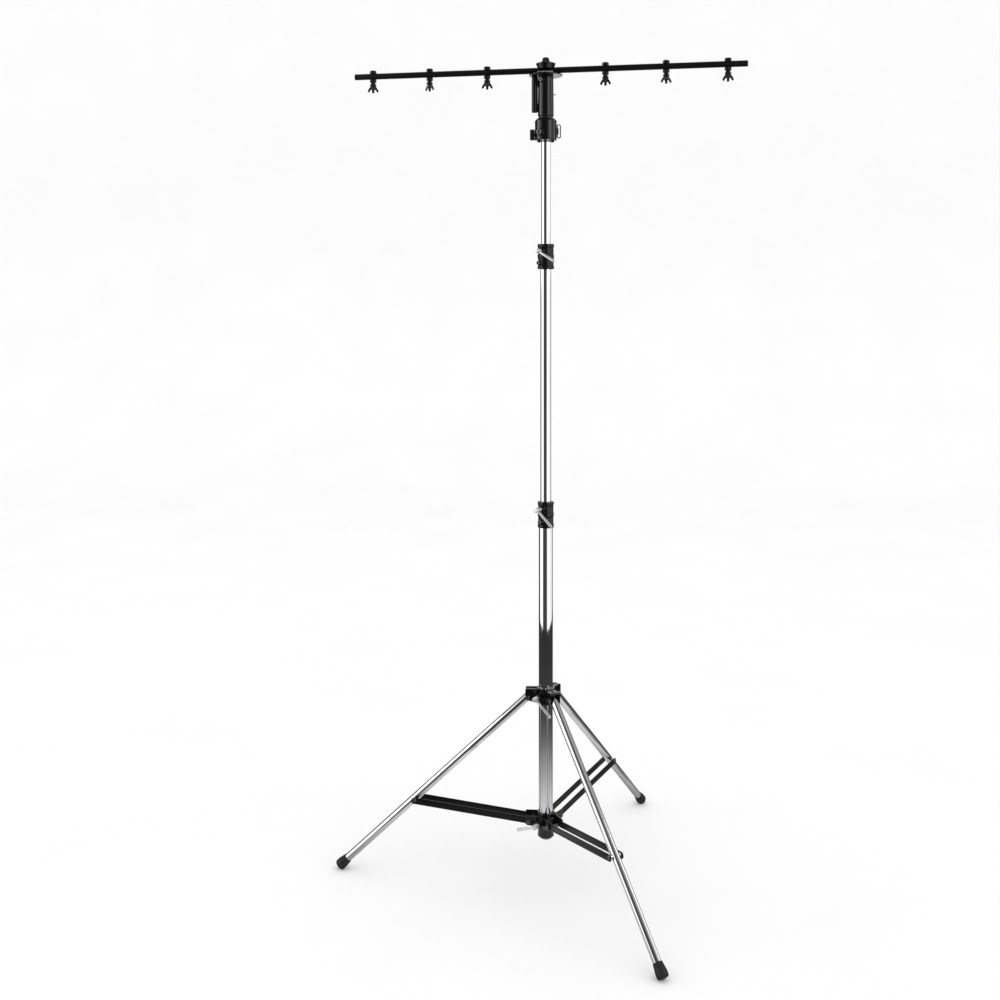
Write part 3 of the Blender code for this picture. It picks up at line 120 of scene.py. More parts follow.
def lathe(points, steps=64, soft=0.0, closed=False, flutes=None):
    """(radius, height) points turned about Z. flutes = (count, depth, low, high, least radius)."""
    profile = rounded(points, soft, closed) if soft else points
    shape = bmesh.new()
    rings = []
    for radius, height in profile:
        if radius < 1e-6:
            rings.append([shape.verts.new((0, 0, height))])
            continue
        ring = []
        for k in range(steps):
            angle = math.tau * k / steps
            r = radius
            if flutes and flutes[2] <= height <= flutes[3] and radius > flutes[4]:
                r -= flutes[1] * (0.5 - 0.5 * math.cos(flutes[0] * angle)) ** 2
            ring.append(shape.verts.new((r * math.cos(angle), r * math.sin(angle), height)))
        rings.append(ring)
    pairs = list(zip(rings, rings[1:]))
    if closed:
        pairs.append((rings[-1], rings[0]))
    for a, b in pairs:
        for k in range(steps):
            j = (k + 1) % steps
            corners = [a[k % len(a)], a[j % len(a)], b[j % len(b)], b[k % len(b)]]
            face = list(dict.fromkeys(corners))
            if len(face) > 2:
                shape.faces.new(face)
    bmesh.ops.recalc_face_normals(shape, faces=shape.faces)
    return as_mesh(shape)


def as_mesh(shape):
    mesh = bpy.data.meshes.new("shape")
    shape.to_mesh(mesh)
    shape.free()
    return mesh


def moved(mesh, matrix):
    copy = mesh.copy()
    copy.transform(matrix)
    return copy


def merged(*meshes):
    """Several shapes in one mesh, each still a closed shell."""
    shape = bmesh.new()
    for mesh in meshes:
        shape.from_mesh(mesh)
    return as_mesh(shape)


def tube(outer, inner, low, high, steps=96, soft=0.0005):
    return lathe([(outer, high), (outer, low), (inner, low), (inner, high)], steps, soft, closed=True)


def disc(radius, low, high, steps=64, soft=0.0):
    return lathe([(0, high), (radius, high), (radius, low), (0, low)], steps, soft)


def block(low, high):
    shape = bmesh.new()
    size = [b - a for a, b in zip(low, high)]
    middle = [(a + b) / 2 for a, b in zip(low, high)]
    bmesh.ops.create_cube(shape, size=1, matrix=Matrix.Translation(middle) @ Matrix.Diagonal((*size, 1)))
    return as_mesh(shape)


def arc(centre, radius, start, end, steps):
    angles = [math.radians(start + (end - start) * i / steps) for i in range(steps + 1)]
    return [(centre[0] + radius * math.cos(a), centre[1] + radius * math.sin(a)) for a in angles]


def evaluated(obj):
    bpy.context.view_layer.update()
    graph = bpy.context.evaluated_depsgraph_get()
    mesh = bpy.data.meshes.new_from_object(obj.evaluated_get(graph))
    bpy.data.objects.remove(obj, do_unlink=True)
    return mesh


def temporary(name, data):
    obj = bpy.data.objects.new(name, data)
    bpy.context.scene.collection.objects.link(obj)
    return obj


def plate(outlines, thickness, edge=0.0005):
    """A flat plate in the XZ plane with rounded edges, its middle at y = 0."""
    curve = bpy.data.curves.new("outline", "CURVE")
    curve.dimensions = "2D"
    curve.fill_mode = "BOTH"
    curve.extrude = thickness / 2 - edge
    curve.bevel_depth = edge
    curve.bevel_resolution = 2
    curve.offset = -edge
    for outline in outlines:
        spline = curve.splines.new("POLY")
        spline.points.add(len(outline) - 1)
        spline.use_cyclic_u = True
        for point, (x, y) in zip(spline.points, outline):
            point.co = (x, y, 0, 1)
    mesh = evaluated(temporary("plate", curve))
    shape = bmesh.new()
    shape.from_mesh(mesh)
    bmesh.ops.remove_doubles(shape, verts=shape.verts, dist=0.00001)
    bmesh.ops.recalc_face_normals(shape, faces=shape.faces)
    mesh = as_mesh(shape)
    mesh.transform(Matrix.Rotation(math.pi / 2, 4, "X"))
    return mesh


def wire(points, radius, cyclic):
    curve = bpy.data.curves.new("wire", "CURVE")
    curve.dimensions = "3D"
    curve.bevel_depth = radius
    curve.bevel_resolution = 5
    spline = curve.splines.new("POLY")
    spline.points.add(len(points) - 1)
    spline.use_cyclic_u = cyclic
    for point, place in zip(spline.points, points):
        point.co = (*place, 1)
    return evaluated(temporary("wire", curve))


def carved(mesh, cuts):
    """The mesh with closed shapes cut from it."""
    body = temporary("body", mesh)
    tools = []
    for cutter in cuts:
        tool = temporary("tool", cutter)
        tools.append(tool)
        modifier = body.modifiers.new("cut", "BOOLEAN")
        modifier.object = tool
        modifier.operation = "DIFFERENCE"
        modifier.solver = "EXACT"
    result = evaluated(body)
    for tool in tools:
        bpy.data.objects.remove(tool, do_unlink=True)
    return result


def cast(solids, cuts, voxel=0.0007, smooth=3, keep=0.35):
    """Overlapping solids melted into one casting with small fillets, and then bored."""
    body = temporary("casting", merged(*solids))
    remesh = body.modifiers.new("melt", "REMESH")
    remesh.mode = "VOXEL"
    remesh.voxel_size = voxel
    soften = body.modifiers.new("soften", "SMOOTH")
    soften.iterations = smooth
    soften.factor = 0.5
    thin = body.modifiers.new("thin", "DECIMATE")
    thin.ratio = keep
    tools = []
    for cutter in cuts:
        tool = temporary("tool", cutter)
        tools.append(tool)
        modifier = body.modifiers.new("bore", "BOOLEAN")
        modifier.object = tool
        modifier.operation = "DIFFERENCE"
        modifier.solver = "MANIFOLD"
    result = evaluated(body)
    for tool in tools:
        bpy.data.objects.remove(tool, do_unlink=True)
    return result


def show(name, mesh, material, body, nodes=(), place=None, angle=32):
    """Adds a finished piece that rides on a body and stands for the CAD nodes named."""
    if place is not None:
        mesh = moved(mesh, place)
    mesh.name = name
    mesh.materials.clear()
    mesh.materials.append(material)
    mesh.shade_smooth()
    mesh.set_sharp_from_angle(angle=math.radians(angle))
    obj = bpy.data.objects.new(name, mesh)
    bpy.context.scene.collection.objects.link(obj)
    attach(obj, body)
    if nodes:
        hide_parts(*nodes)
    return obj


# ---------------------------------------------------------------- materials

def new_material(name):
    material = bpy.data.materials.new(name)
    material.use_nodes = True
    tree = material.node_tree
    return material, tree, tree.nodes["Principled BSDF"]


def noise(tree, scale, detail=3.0, stretch=(1, 1, 1)):
    place = tree.nodes.new("ShaderNodeTexCoord")
    mapping = tree.nodes.new("ShaderNodeMapping")
    mapping.inputs["Scale"].default_value = stretch
    texture = tree.nodes.new("ShaderNodeTexNoise")
    texture.inputs["Scale"].default_value = scale
    texture.inputs["Detail"].default_value = detail
    tree.links.new(place.outputs["Object"], mapping.inputs["Vector"])
    tree.links.new(mapping.outputs["Vector"], texture.inputs["Vector"])
    return texture.outputs["Fac"]


def ranged(tree, value, low, high, start=0.3, end=0.7):
    node = tree.nodes.new("ShaderNodeMapRange")
    node.inputs["From Min"].default_value = start
    node.inputs["From Max"].default_value = end
    node.inputs["To Min"].default_value = low
    node.inputs["To Max"].default_value = high
    tree.links.new(value, node.inputs["Value"])
    return node.outputs["Result"]


def blended(tree, value, first, second):
    node = tree.nodes.new("ShaderNodeMix")
    node.data_type = "RGBA"
    node.inputs["A"].default_value = (*first, 1)
    node.inputs["B"].default_value = (*second, 1)
    tree.links.new(value, node.inputs["Factor"])
    return node.outputs["Result"]


def bumped(tree, shader, height, strength, distance):
    node = tree.nodes.new("ShaderNodeBump")
    node.inputs["Strength"].default_value = strength
    node.inputs["Distance"].default_value = distance
    tree.links.new(height, node.inputs["Height"])
    tree.links.new(node.outputs["Normal"], shader.inputs["Normal"])


def surface(name, colors, roughness, metallic=0.0, grain=60.0, stretch=(1, 1, 1), bump=None, gloss=0.5):
    """Colour and roughness that drift over the surface; bump = (scale, strength, distance)."""
    material, tree, shader = new_material(name + "_look")
    drift = noise(tree, grain, 4.0, stretch)
    fine = noise(tree, grain * 7, 5.0, stretch)
    color = blended(tree, ranged(tree, drift, 0, 1), *colors)
    tree.links.new(color, shader.inputs["Base Color"])
    tree.links.new(ranged(tree, fine, *roughness), shader.inputs["Roughness"])
    shader.inputs["Metallic"].default_value = metallic
    shader.inputs["Specular IOR Level"].default_value = gloss
    if bump:
        bumped(tree, shader, noise(tree, bump[0], 4.0), bump[1], bump[2])
    return material


CHROME = surface("chrome", ((0.88, 0.88, 0.89), (0.82, 0.82, 0.835)), (0.03, 0.07), 1.0, 30, (1, 1, 0.12))
ENAMEL = surface("black_enamel", ((0.003, 0.003, 0.0034), (0.005, 0.005, 0.0054)), (0.12, 0.22), 0.0, 45,
                 bump=(420, 0.08, 0.0004), gloss=0.38)
SATIN = surface("black_steel", ((0.003, 0.003, 0.0034), (0.006, 0.006, 0.0064)), (0.22, 0.36), 0.0, 50,
                bump=(900, 0.10, 0.0002), gloss=0.24)
STEEL = surface("grey_steel", ((0.66, 0.66, 0.67), (0.78, 0.78, 0.79)), (0.24, 0.38), 0.75, 90,
                bump=(1300, 0.08, 0.0001))
BOLT_STEEL = surface("dark_bolt_steel", ((0.11, 0.11, 0.115), (0.17, 0.17, 0.175)), (0.20, 0.32), 1.0, 90,
                     bump=(1300, 0.08, 0.0001))
RUBBER = surface("black_rubber", ((0.007, 0.007, 0.007), (0.014, 0.0135, 0.013)), (0.45, 0.70), 0.0, 70,
                 bump=(1100, 0.25, 0.0003), gloss=0.45)
PLASTIC = surface("black_plastic", ((0.007, 0.007, 0.0075), (0.013, 0.013, 0.0135)), (0.26, 0.40), 0.0, 60,
                  bump=(1500, 0.15, 0.0002), gloss=0.45)
NYLON = surface("white_nylon", ((0.76, 0.75, 0.71), (0.70, 0.69, 0.65)), (0.40, 0.55), 0.0, 60,
                bump=(1200, 0.12, 0.0002))


# ---------------------------------------------------------------- shared shapes

def hex_bolt(size=1.0):
    """A socket-head screw along +Z, its head's underside at z = 0."""
    head, height, shank = 0.0065 * size, 0.005 * size, 0.0025 * size
    outline = [(0, height), (head, height), (head, 0), (shank, 0), (shank, -0.0045), (0, -0.0045)]
    knurl = (40, 0.00022 * size, 0.0006 * size, height - 0.0012 * size, head * 0.9)
    body = lathe(outline, 120, 0.0009 * size, flutes=knurl)
    wide, floor, above = 0.0034 * size, height * 0.12, height + 0.001
    socket = lathe([(0, above), (wide, above), (wide, floor), (0, floor)], 6)
    dish = lathe([(0, above), (wide + 0.0012 * size, above), (wide - 0.0003 * size, height - 0.0009 * size),
                  (0, height - 0.0009 * size)], 48)
    return carved(body, [socket, dish])


def pin(half):
    """A headed pin along Y with domed ends."""
    seat, shank = half + GAP, 0.004
    dome = [(0, 0.0025), (0.0026, 0.00225), (0.0048, 0.0014), (0.0065, 0.0002), (0.0065, 0)]
    head = [(r, seat + z) for r, z in dome]
    mirrored = [(r, -z) for r, z in reversed(head)]
    return moved(lathe(head + [(shank, seat), (shank, -seat)] + mirrored, 40), TOWARD_Y)


def screw_head(tip, reach):
    """A clamp screw along +Z: a threaded shank from tip to a turned head centred on reach."""
    low, top = reach - 0.0085, reach + 0.0085
    start, pitch = low - 0.003, 0.00125
    thread = []
    for i in range(int((start - tip) / pitch)):
        z = start - i * pitch
        thread += [(0.0050, z), (0.0045, z - 0.0006)]
    outline = [(0, top), (0.0080, top), (0.0080, low), (0.0062, low), (0.0050, low - 0.0022)]
    outline = rounded(outline, 0.0012) + thread + [(0.0040, tip), (0, tip)]
    return lathe(outline, 48)


def rod(length, root, tip, cap=1.0):
    """A round bar along +Z with domed ends; cap is a dome's height over its radius."""
    outline = [(0, length)]
    for angle in map(math.radians, (25, 50, 70, 90)):
        outline.append((tip * math.sin(angle), length - tip * cap * (1 - math.cos(angle))))
    for angle in map(math.radians, (0, 30, 60)):
        outline.append((root * math.cos(angle), root * cap * (1 - math.sin(angle))))
    return lathe(outline + [(0, 0)], 40)


def along(direction):
    return Vector(direction).to_track_quat("Z", "Y").to_matrix().to_4x4()


def clamp_lever(tip, reach, slope):
    """A clamp screw along +Z with a tapered rod that leaves its head sideways, down by slope."""
    direction = Vector((math.sin(slope), math.cos(slope), 0))
    bar = rod(LEVER_LENGTH, LEVER_ROOT, LEVER_TIP)
    return merged(screw_head(tip, reach), moved(bar, Matrix.Translation((0, 0, reach)) @ along(direction)))


def add_lever(name, body, node, height, tip, reach, slope):
    lever = clamp_lever(tip + GAP, reach, math.radians(slope))
    show(name, lever, STEEL, body, [node], place=spot(LEVER_SIDE, 0, height) @ TOWARD_X)


# ---------------------------------------------------------------- column and risers

def add_tubes():
    column = tube(COLUMN_R, COLUMN_BORE, COLUMN_LOW, COLUMN_TOP, 128)
    middle = tube(MIDDLE_R, MIDDLE_R - RISER_WALL, MIDDLE_LOW, MIDDLE_TOP, 112)
    upper = tube(UPPER_R, UPPER_R - RISER_WALL, UPPER_LOW, UPPER_TOP, 96)
    show("base_column_tube", column, CHROME, "column", ["base_column"], place=MIDDLE_AXIS)
    show("middle_riser_tube", middle, CHROME, "middle_riser", ["middle_riser"], place=MIDDLE_AXIS)
    show("upper_riser_tube", upper, CHROME, "upper_riser", ["upper_riser"], place=MIDDLE_AXIS)
    add_guide("middle_guide", "middle_riser", COLUMN_BORE, MIDDLE_R, MIDDLE_LOW)
    add_guide("upper_guide", "upper_riser", MIDDLE_R - RISER_WALL, UPPER_R, UPPER_LOW)


def add_guide(name, body, bore, riser, bottom):
    """A ring under a riser that fills the bore around it, with a spigot up inside the riser."""
    outer, spigot, top = bore - GAP, riser - RISER_WALL - GAP, bottom - GAP
    low, waist, inner, spigot_top = top - 0.010, outer - 0.0006, 0.009, top + 0.022
    outline = [(spigot, spigot_top), (spigot, top), (outer, top), (outer, top - 0.003), (waist, top - 0.004),
               (waist, low + 0.004), (outer, low + 0.003), (outer, low), (inner, low), (inner, spigot_top)]
    show(name + "_ring", lathe(outline, 72, 0.0004, closed=True), NYLON, body, [name], place=MIDDLE_AXIS)


def add_plug():
    floor, bore, rim, waist = 0.131, COLUMN_R + GAP, 0.0258, 0.0250
    outline = [(0, floor), (bore, floor), (bore, PLUG_TOP), (rim, PLUG_TOP), (rim, PLUG_TOP - 0.004),
               (waist, PLUG_TOP - 0.0048), (waist, PLUG_LOW + 0.012), (rim, PLUG_LOW + 0.011),
               (rim, PLUG_LOW + 0.008), (0.0178, PLUG_LOW), (0, PLUG_LOW)]
    plug = lathe(outline, 96, 0.0008)
    show("column_end_plug", plug, PLASTIC, "column", ["column_plug"], place=MIDDLE_AXIS)


def add_collar(name, body, bottom, radius, height, bores, rise, bolt):
    """A ribbed cast collar with a boss for its clamp screw and a seat for its bolt.

    bores = (below, above) its step, and bolt = (azimuth, height, distance of the head's seat).
    """
    groove, middle = radius - 0.0014, height / 2
    outline = [(0, height), (radius, height), (radius, height - 0.010), (groove, height - 0.0115),
               (groove, middle + 0.0065), (radius, middle + 0.005), (radius, middle - 0.005),
               (groove, middle - 0.0065), (groove, 0.0115), (radius, 0.010), (radius, 0), (0, 0)]
    azimuth, bolt_rise, seat = bolt
    facing = spot(LEVER_SIDE, 0, rise, base=Matrix.Identity(4)) @ TOWARD_X
    bolt_place = spot(azimuth, 0, bolt_rise, base=Matrix.Identity(4)) @ TOWARD_X
    boss = moved(disc(0.011, radius / 2, 0.034, 48, 0.0012), facing)
    seat_boss = moved(disc(0.0085, seat - 0.012, seat - GAP, 48, 0.001), bolt_place)
    step = 0.0253
    lower, upper = bores
    bore = lathe([(0, height + 0.01), (upper, height + 0.01), (upper, step), (lower, step), (lower, -0.01),
                  (0, -0.01)], 96)
    screw = moved(disc(0.0053, 0, 0.05, 32), facing)
    shank = moved(disc(0.0028, seat - 0.0048, seat + 0.001, 24), bolt_place)
    casting = cast([lathe(outline, 96, 0.0012), boss, seat_boss], [bore, screw, shank], 0.0008)
    base = MIDDLE_AXIS @ Matrix.Translation((0, 0, bottom))
    show(name + "_casting", casting, ENAMEL, body, [name], place=base)
    place = spot(azimuth, seat, bottom + bolt_rise) @ TOWARD_X
    show(name + "_socket_bolt", hex_bolt(), BOLT_STEEL, body, [name + "_bolt"], place=place)


def add_collars():
    base_rise, riser_rise = 0.062, 0.058
    column_bore, middle_bore, upper_bore = COLUMN_R + GAP, MIDDLE_R + GAP, UPPER_R + GAP
    add_collar("base_collar", "column", BASE_COLLAR_Z, 0.026, BASE_COLLAR_H, (column_bore, middle_bore),
               base_rise, (math.radians(-128), 0.020, 0.0285))
    add_collar("riser_collar", "middle_riser", RISER_COLLAR_Z, 0.0265, RISER_COLLAR_H,
               (middle_bore, upper_bore), riser_rise, (math.radians(-138), 0.020, 0.0290))
    add_lever("base_clamp_lever", "base_lever", "base_collar_lever", BASE_COLLAR_Z + base_rise, MIDDLE_R,
              COLLAR_REACH, 42)
    add_lever("riser_clamp_lever", "riser_lever", "riser_collar_lever", RISER_COLLAR_Z + riser_rise, UPPER_R,
              COLLAR_REACH, 29)


# ---------------------------------------------------------------- spiders

def add_upper_spider():
    local = Matrix.Translation((0, 0, LEG_Z))
    top, low, screw_rise = 0.0305, -0.0210, 0.007
    solids = [lathe([(0, top), (0.029, top), (0.029, low), (0, low)], 96, 0.0015)]
    cuts = []
    for azimuth in LEGS.values():
        turn = Matrix.Rotation(azimuth, 4, "Z")
        outline = [(0.0255, 0.0275)] + arc((0.061, 0.0235), 0.004, 90, 0, 6)
        outline += arc((0.055, 0), 0.0105, 0, -100, 12) + [(0.0255, -0.017)]
        solids.append(moved(plate([outline], 0.034, 0.0009), turn))
        cuts.append(moved(block((0.032, -0.0135, -0.05), (0.1, 0.0135, 0.0235)), turn))
        pivot = turn @ Matrix.Translation((LEG_PIVOT_R, 0, 0)) @ TOWARD_Y
        cuts.append(moved(disc(0.0043, -0.04, 0.04, 32), pivot))
        rib = [(0.026, 0.0270), (0.0635, 0.0270), (0.0635, 0.0292), (0.026, 0.0305)]
        solids.append(moved(plate([rib], 0.0034, 0.0006), turn))
    screw = Matrix.Rotation(LEVER_SIDE, 4, "Z") @ Matrix.Translation((0, 0, screw_rise)) @ TOWARD_X
    solids.append(moved(disc(0.010, 0.020, 0.050, 48, 0.0014), screw))
    cuts.append(moved(disc(0.0053, 0, 0.06, 32), screw))
    cuts.append(disc(COLUMN_R + GAP, low - 0.01, top + 0.01, 96))
    casting = cast(solids, cuts, 0.0008)
    show("upper_spider_casting", casting, ENAMEL, "spider", ["upper_spider"], place=MIDDLE_AXIS @ local)
    add_lever("upper_clamp_lever", "upper_lever", "upper_spider_lever", LEG_Z + screw_rise, COLUMN_R,
              SPIDER_REACH, 41)
    for index, azimuth in enumerate((-150, -90, -30, 30, 90, 150), 1):
        dome = lathe([(0, 0.0016), (0.0011, 0.0014), (0.0020, 0.0007), (0.0023, 0), (0, -0.0005)], 24)
        place = spot(math.radians(azimuth), 0.0259, LEG_Z + top - 0.0002)
        show(f"spider_rim_rivet_{index}", dome, CHROME, "spider", place=place)


def add_lower_spider():
    low, top, screw_rise = -0.0217, 0.0253, 0.0185
    hub, skirt_radius, skirt = 0.0278, 0.033, low + 0.030
    outline = [(0, top), (hub, top), (hub, skirt + 0.0052), (skirt_radius, skirt), (skirt_radius, low),
               (0, low)]
    solids = [lathe(outline, 96, 0.002)]
    cuts = []
    cheek_low, cheek_high, middle = -0.0105, 0.0185, 0.0245
    for azimuth in LEGS.values():
        turn = Matrix.Rotation(azimuth, 4, "Z")
        outline = [(0.0156, cheek_high)] + arc((0.0625, cheek_high - 0.003), 0.003, 90, 0, 5)
        outline += arc((BRACE_PIVOT_R, 0), -cheek_low, 0, -90, 12) + [(0.0156, cheek_low - 0.004)]
        for side in (-middle, middle):
            solids.append(moved(plate([outline], 0.004, 0.0006), turn @ Matrix.Translation((0, side, 0))))
        corner = turn @ Matrix.Translation((middle * math.tan(math.radians(30)), middle, 0))
        solids.append(moved(disc(0.0036, cheek_low - 0.0008, cheek_high + 0.0008, 32, 0.0008), corner))
        solids.append(moved(block((0.0265, -middle, low + 0.004), (0.038, middle, low + 0.012)), turn))
        pivot = turn @ Matrix.Translation((BRACE_PIVOT_R, 0, 0)) @ TOWARD_Y
        cuts.append(moved(disc(0.0043, -0.04, 0.04, 32), pivot))
    screw = Matrix.Rotation(LEVER_SIDE, 4, "Z") @ Matrix.Translation((0, 0, low + screw_rise)) @ TOWARD_X
    solids.append(moved(disc(0.0095, 0.020, 0.048, 48, 0.0014), screw))
    cuts.append(moved(disc(0.0053, 0, 0.06, 32), screw))
    cuts.append(disc(COLUMN_R + GAP, low - 0.01, top + 0.01, 96))
    show("lower_spider_casting", cast(solids, cuts, 0.0007), ENAMEL, "column", ["lower_spider"],
         place=MIDDLE_AXIS @ Matrix.Translation((0, 0, BRACE_Z)))
    add_lever("lower_clamp_lever", "lower_lever", "lower_spider_lever", LOWER_Z + screw_rise, COLUMN_R,
              SPIDER_REACH, 159)


# ---------------------------------------------------------------- legs and braces

def foot_shape():
    """A rubber foot around the leg's lower end, with three grooves under its mouth."""
    low, edge, bore, mouth_radius, widest = -LEG_REACH, 0.0115, 0.0128, 0.0142, 0.0174
    mouth, sole, taper_end, rounding = low + 0.040, low + 0.012, low + 0.016, low + 0.006
    outline = [(0, sole), (bore, sole), (bore, mouth), (0.0134, mouth), (mouth_radius, mouth - 0.0008)]
    for i in range(3):
        z = mouth - 0.005 - i * 0.0045
        r = mouth_radius + (mouth - z) / (mouth - taper_end) * 0.0033
        outline += [(r, z + 0.0008), (r - 0.0007, z), (r - 0.0006, z - 0.0009), (r + 0.0002, z - 0.0017)]
    outline += [(widest, taper_end), (widest, rounding)]
    outline += arc((edge, rounding), widest - edge, 0, -90, 8)[1:] + [(0, low)]
    return lathe(outline, 80, 0.0004)


def add_legs():
    floor = block((-1, -1, -0.05), (1, 1, 0))
    for side, azimuth in LEGS.items():
        place = spot(azimuth, LEG_PIVOT_R, LEG_Z, -LEG_TILT)
        body = "leg_" + side
        top, low = 0.016, -(LEG_REACH - 0.0123)
        shell = tube(LEG_R, LEG_R - 0.0015, low, top, 80, 0.0006)
        bush_place = Matrix.Translation((0, 0, -LEG_BRACE_AT)) @ TOWARD_Y
        bush = moved(disc(0.006, -0.0177, 0.0177, 40, 0.0005), bush_place)
        shell = merged(carved(shell, [moved(disc(0.0043, -0.03, 0.03, 32), TOWARD_Y)]), bush)
        show(f"leg_{side}_tube", shell, CHROME, body, [body], place=place)
        insert = disc(LEG_R - 0.0018, top - 0.0035, top - 0.0006, 48, 0.0006)
        show(f"leg_{side}_end_disc", insert, PLASTIC, body, place=place)
        foot = carved(moved(foot_shape(), place), [floor.copy()])
        show(f"foot_{side}_rubber", foot, RUBBER, body, ["foot_" + side])
        show(f"leg_{side}_pivot_pin", pin(0.017), BOLT_STEEL, "spider", ["leg_pin_" + side],
             place=spot(azimuth, LEG_PIVOT_R, LEG_Z))


def add_braces():
    outline = arc((BRACE_LENGTH, -0.0025), 0.010, -90, 90, 16) + arc((0, 0.003), 0.010, 90, 270, 16)
    hole = arc((0, 0), 0.0043, 0, 345, 23)
    for side, azimuth in LEGS.items():
        for hand, label in ((-1, "a"), (1, "b")):
            bar = plate([outline, hole], 0.004, 0.0006)
            profile = [(0, 0.0045), (0.0028, 0.0042), (0.0052, 0.0031), (0.0065, 0.0018), (0.0065, 0), (0, 0)]
            dome = lathe(profile, 40)
            turn = TOWARD_Y if hand > 0 else TOWARD_Y.inverted()
            rivet = moved(dome, Matrix.Translation((BRACE_LENGTH, 0, 0)) @ turn)
            offset = spot(azimuth, BRACE_PIVOT_R, BRACE_Z, -BRACE_SLOPE, side=hand * 0.020)
            name = f"brace_{side}_{label}"
            show(name + "_bar", bar, SATIN, "brace_" + side, [name], place=offset)
            show(name + "_rivet", rivet, BOLT_STEEL, "brace_" + side, place=offset)
        show(f"brace_{side}_pivot_pin", pin(0.0265), BOLT_STEEL, "column", ["brace_pin_" + side],
             place=spot(azimuth, BRACE_PIVOT_R, BRACE_Z))


# ---------------------------------------------------------------- top socket

def add_top_socket():
    outline = [(0, SOCKET_H), (0.027, SOCKET_H), (0.035, SOCKET_H - 0.008), (0.035, 0), (0, 0)]
    solids = [lathe(outline, 112, 0.0014)]
    for hand in (-1, 1):
        foot = disc(0.0055, -0.006, 0.004, 32, 0.001)
        solids.append(moved(foot, Matrix.Translation((hand * 0.0215, 0, 0))))
    lug = Matrix.Translation((0.037, 0, 0.029))
    solids.append(moved(disc(0.0042, -0.010, 0.010, 32, 0.0008), lug))
    azimuth, rise, seat, size = math.radians(-118), 0.024, 0.0385, 1.35
    bolt_place = Matrix.Rotation(azimuth, 4, "Z") @ Matrix.Translation((0, 0, rise)) @ TOWARD_X
    solids.append(moved(disc(0.0085 * size, seat - 0.012, seat - GAP, 56, 0.0012), bolt_place))
    knob_place = Matrix.Rotation(math.pi, 4, "Z") @ Matrix.Translation((0, 0, 0.0185)) @ TOWARD_X
    above, stop, spigot_bore, riser_bore = SOCKET_H + 0.01, 0.0303, 0.0143, UPPER_R + GAP
    bore = lathe([(0, above), (spigot_bore, above), (spigot_bore, stop), (riser_bore, stop),
                  (riser_bore, -0.02), (0, -0.02)], 96)
    cuts = [bore, moved(disc(0.0021, -0.02, 0.02, 24), lug), moved(disc(0.0043, 0, 0.06, 32), knob_place),
            moved(disc(0.0028 * size, seat - 0.0048, seat + 0.001, 24), bolt_place)]
    base = MIDDLE_AXIS @ Matrix.Translation((0, 0, SOCKET_Z))
    casting = cast(solids, cuts, 0.0008)
    show("top_socket_casting", casting, ENAMEL, "upper_riser", ["top_socket"], place=base)
    show("top_socket_hex_bolt", hex_bolt(size), BOLT_STEEL, "upper_riser", ["top_socket_bolt"],
         place=base @ bolt_place @ Matrix.Translation((0, 0, seat)))
    seat, tip = 0.0356, UPPER_R + GAP
    top, rim, shank = seat + 0.0145, 0.0175, 0.004
    outline = [(0, top - 0.0008), (0.0110, top - 0.0008), (0.0125, top), (rim, top), (rim, seat),
               (shank, seat), (shank, tip), (0, tip)]
    knob = lathe(outline, 240, 0.0012, flutes=(40, 0.0009, seat - 0.001, top + 0.001, 0.0158))
    show("top_socket_knurled_knob", knob, PLASTIC, "socket_knob", ["top_socket_knob"],
         place=base @ knob_place)
    corner = 0.0042
    half, right = 0.021 - corner, 0.0095 - corner
    turns = (((corner, half), 180), ((right, half), 90), ((right, -half), 0), ((corner, -half), -90))
    path = []
    for centre, start in turns:
        path += [(x, 0, z) for x, z in arc(centre, corner, start, start - 90, 8)]
    loop = wire(path, 0.00175, True)
    show("latch_wire_loop", loop, SATIN, "latch_loop", ["latch_loop"], place=base @ lug)


# ---------------------------------------------------------------- adaptor and T-bar

def add_adaptor():
    washer = tube(0.023, 0.0143, WASHER_Z, WASHER_Z + WASHER_H, 96, 0.0008)
    show("swivel_washer_ring", washer, PLASTIC, "lamp_head", ["swivel_washer"], place=SWIVEL)
    height, spigot_radius, spigot = ADAPTOR_TOP - ADAPTOR_Z, 0.014, -0.0454
    outline = [(0, height), (0.0243, height), (ADAPTOR_R, 0), (spigot_radius, 0), (spigot_radius, spigot),
               (0, spigot)]
    rise, azimuth, seat = height - 0.014, math.radians(-114), 0.0273
    bolt_place = Matrix.Rotation(azimuth, 4, "Z") @ Matrix.Translation((0, 0, rise)) @ TOWARD_X
    seat_boss = moved(disc(0.0085, seat - 0.012, seat - GAP, 48, 0.001), bolt_place)
    pin_rise = height - 0.060
    cuts = [disc(0.0053, BAR_Z + 0.023 - 0.077 - ADAPTOR_Z, 0.2, 48),
            moved(disc(0.0028, seat - 0.0048, seat + 0.001, 24), bolt_place),
            moved(disc(0.0019, 0.0079, 0.05, 24), Matrix.Translation((0, 0, pin_rise)) @ TOWARD_X)]
    base = SWIVEL @ Matrix.Translation((0, 0, ADAPTOR_Z))
    casting = cast([lathe(outline, 112, 0.0010), seat_boss], cuts, 0.0008)
    show("adaptor_turned_body", casting, ENAMEL, "lamp_head", ["adaptor_body"], place=base)
    show("adaptor_hex_bolt", hex_bolt(), BOLT_STEEL, "lamp_head", ["adaptor_bolt"],
         place=base @ bolt_place @ Matrix.Translation((0, 0, seat)))
    press = rod(0.022, 0.0016, 0.0016, 0.6)
    place = base @ Matrix.Translation((0.0125, 0, pin_rise)) @ TOWARD_X
    show("release_pin_button", press, STEEL, "release_pin", ["release_pin"], place=place)


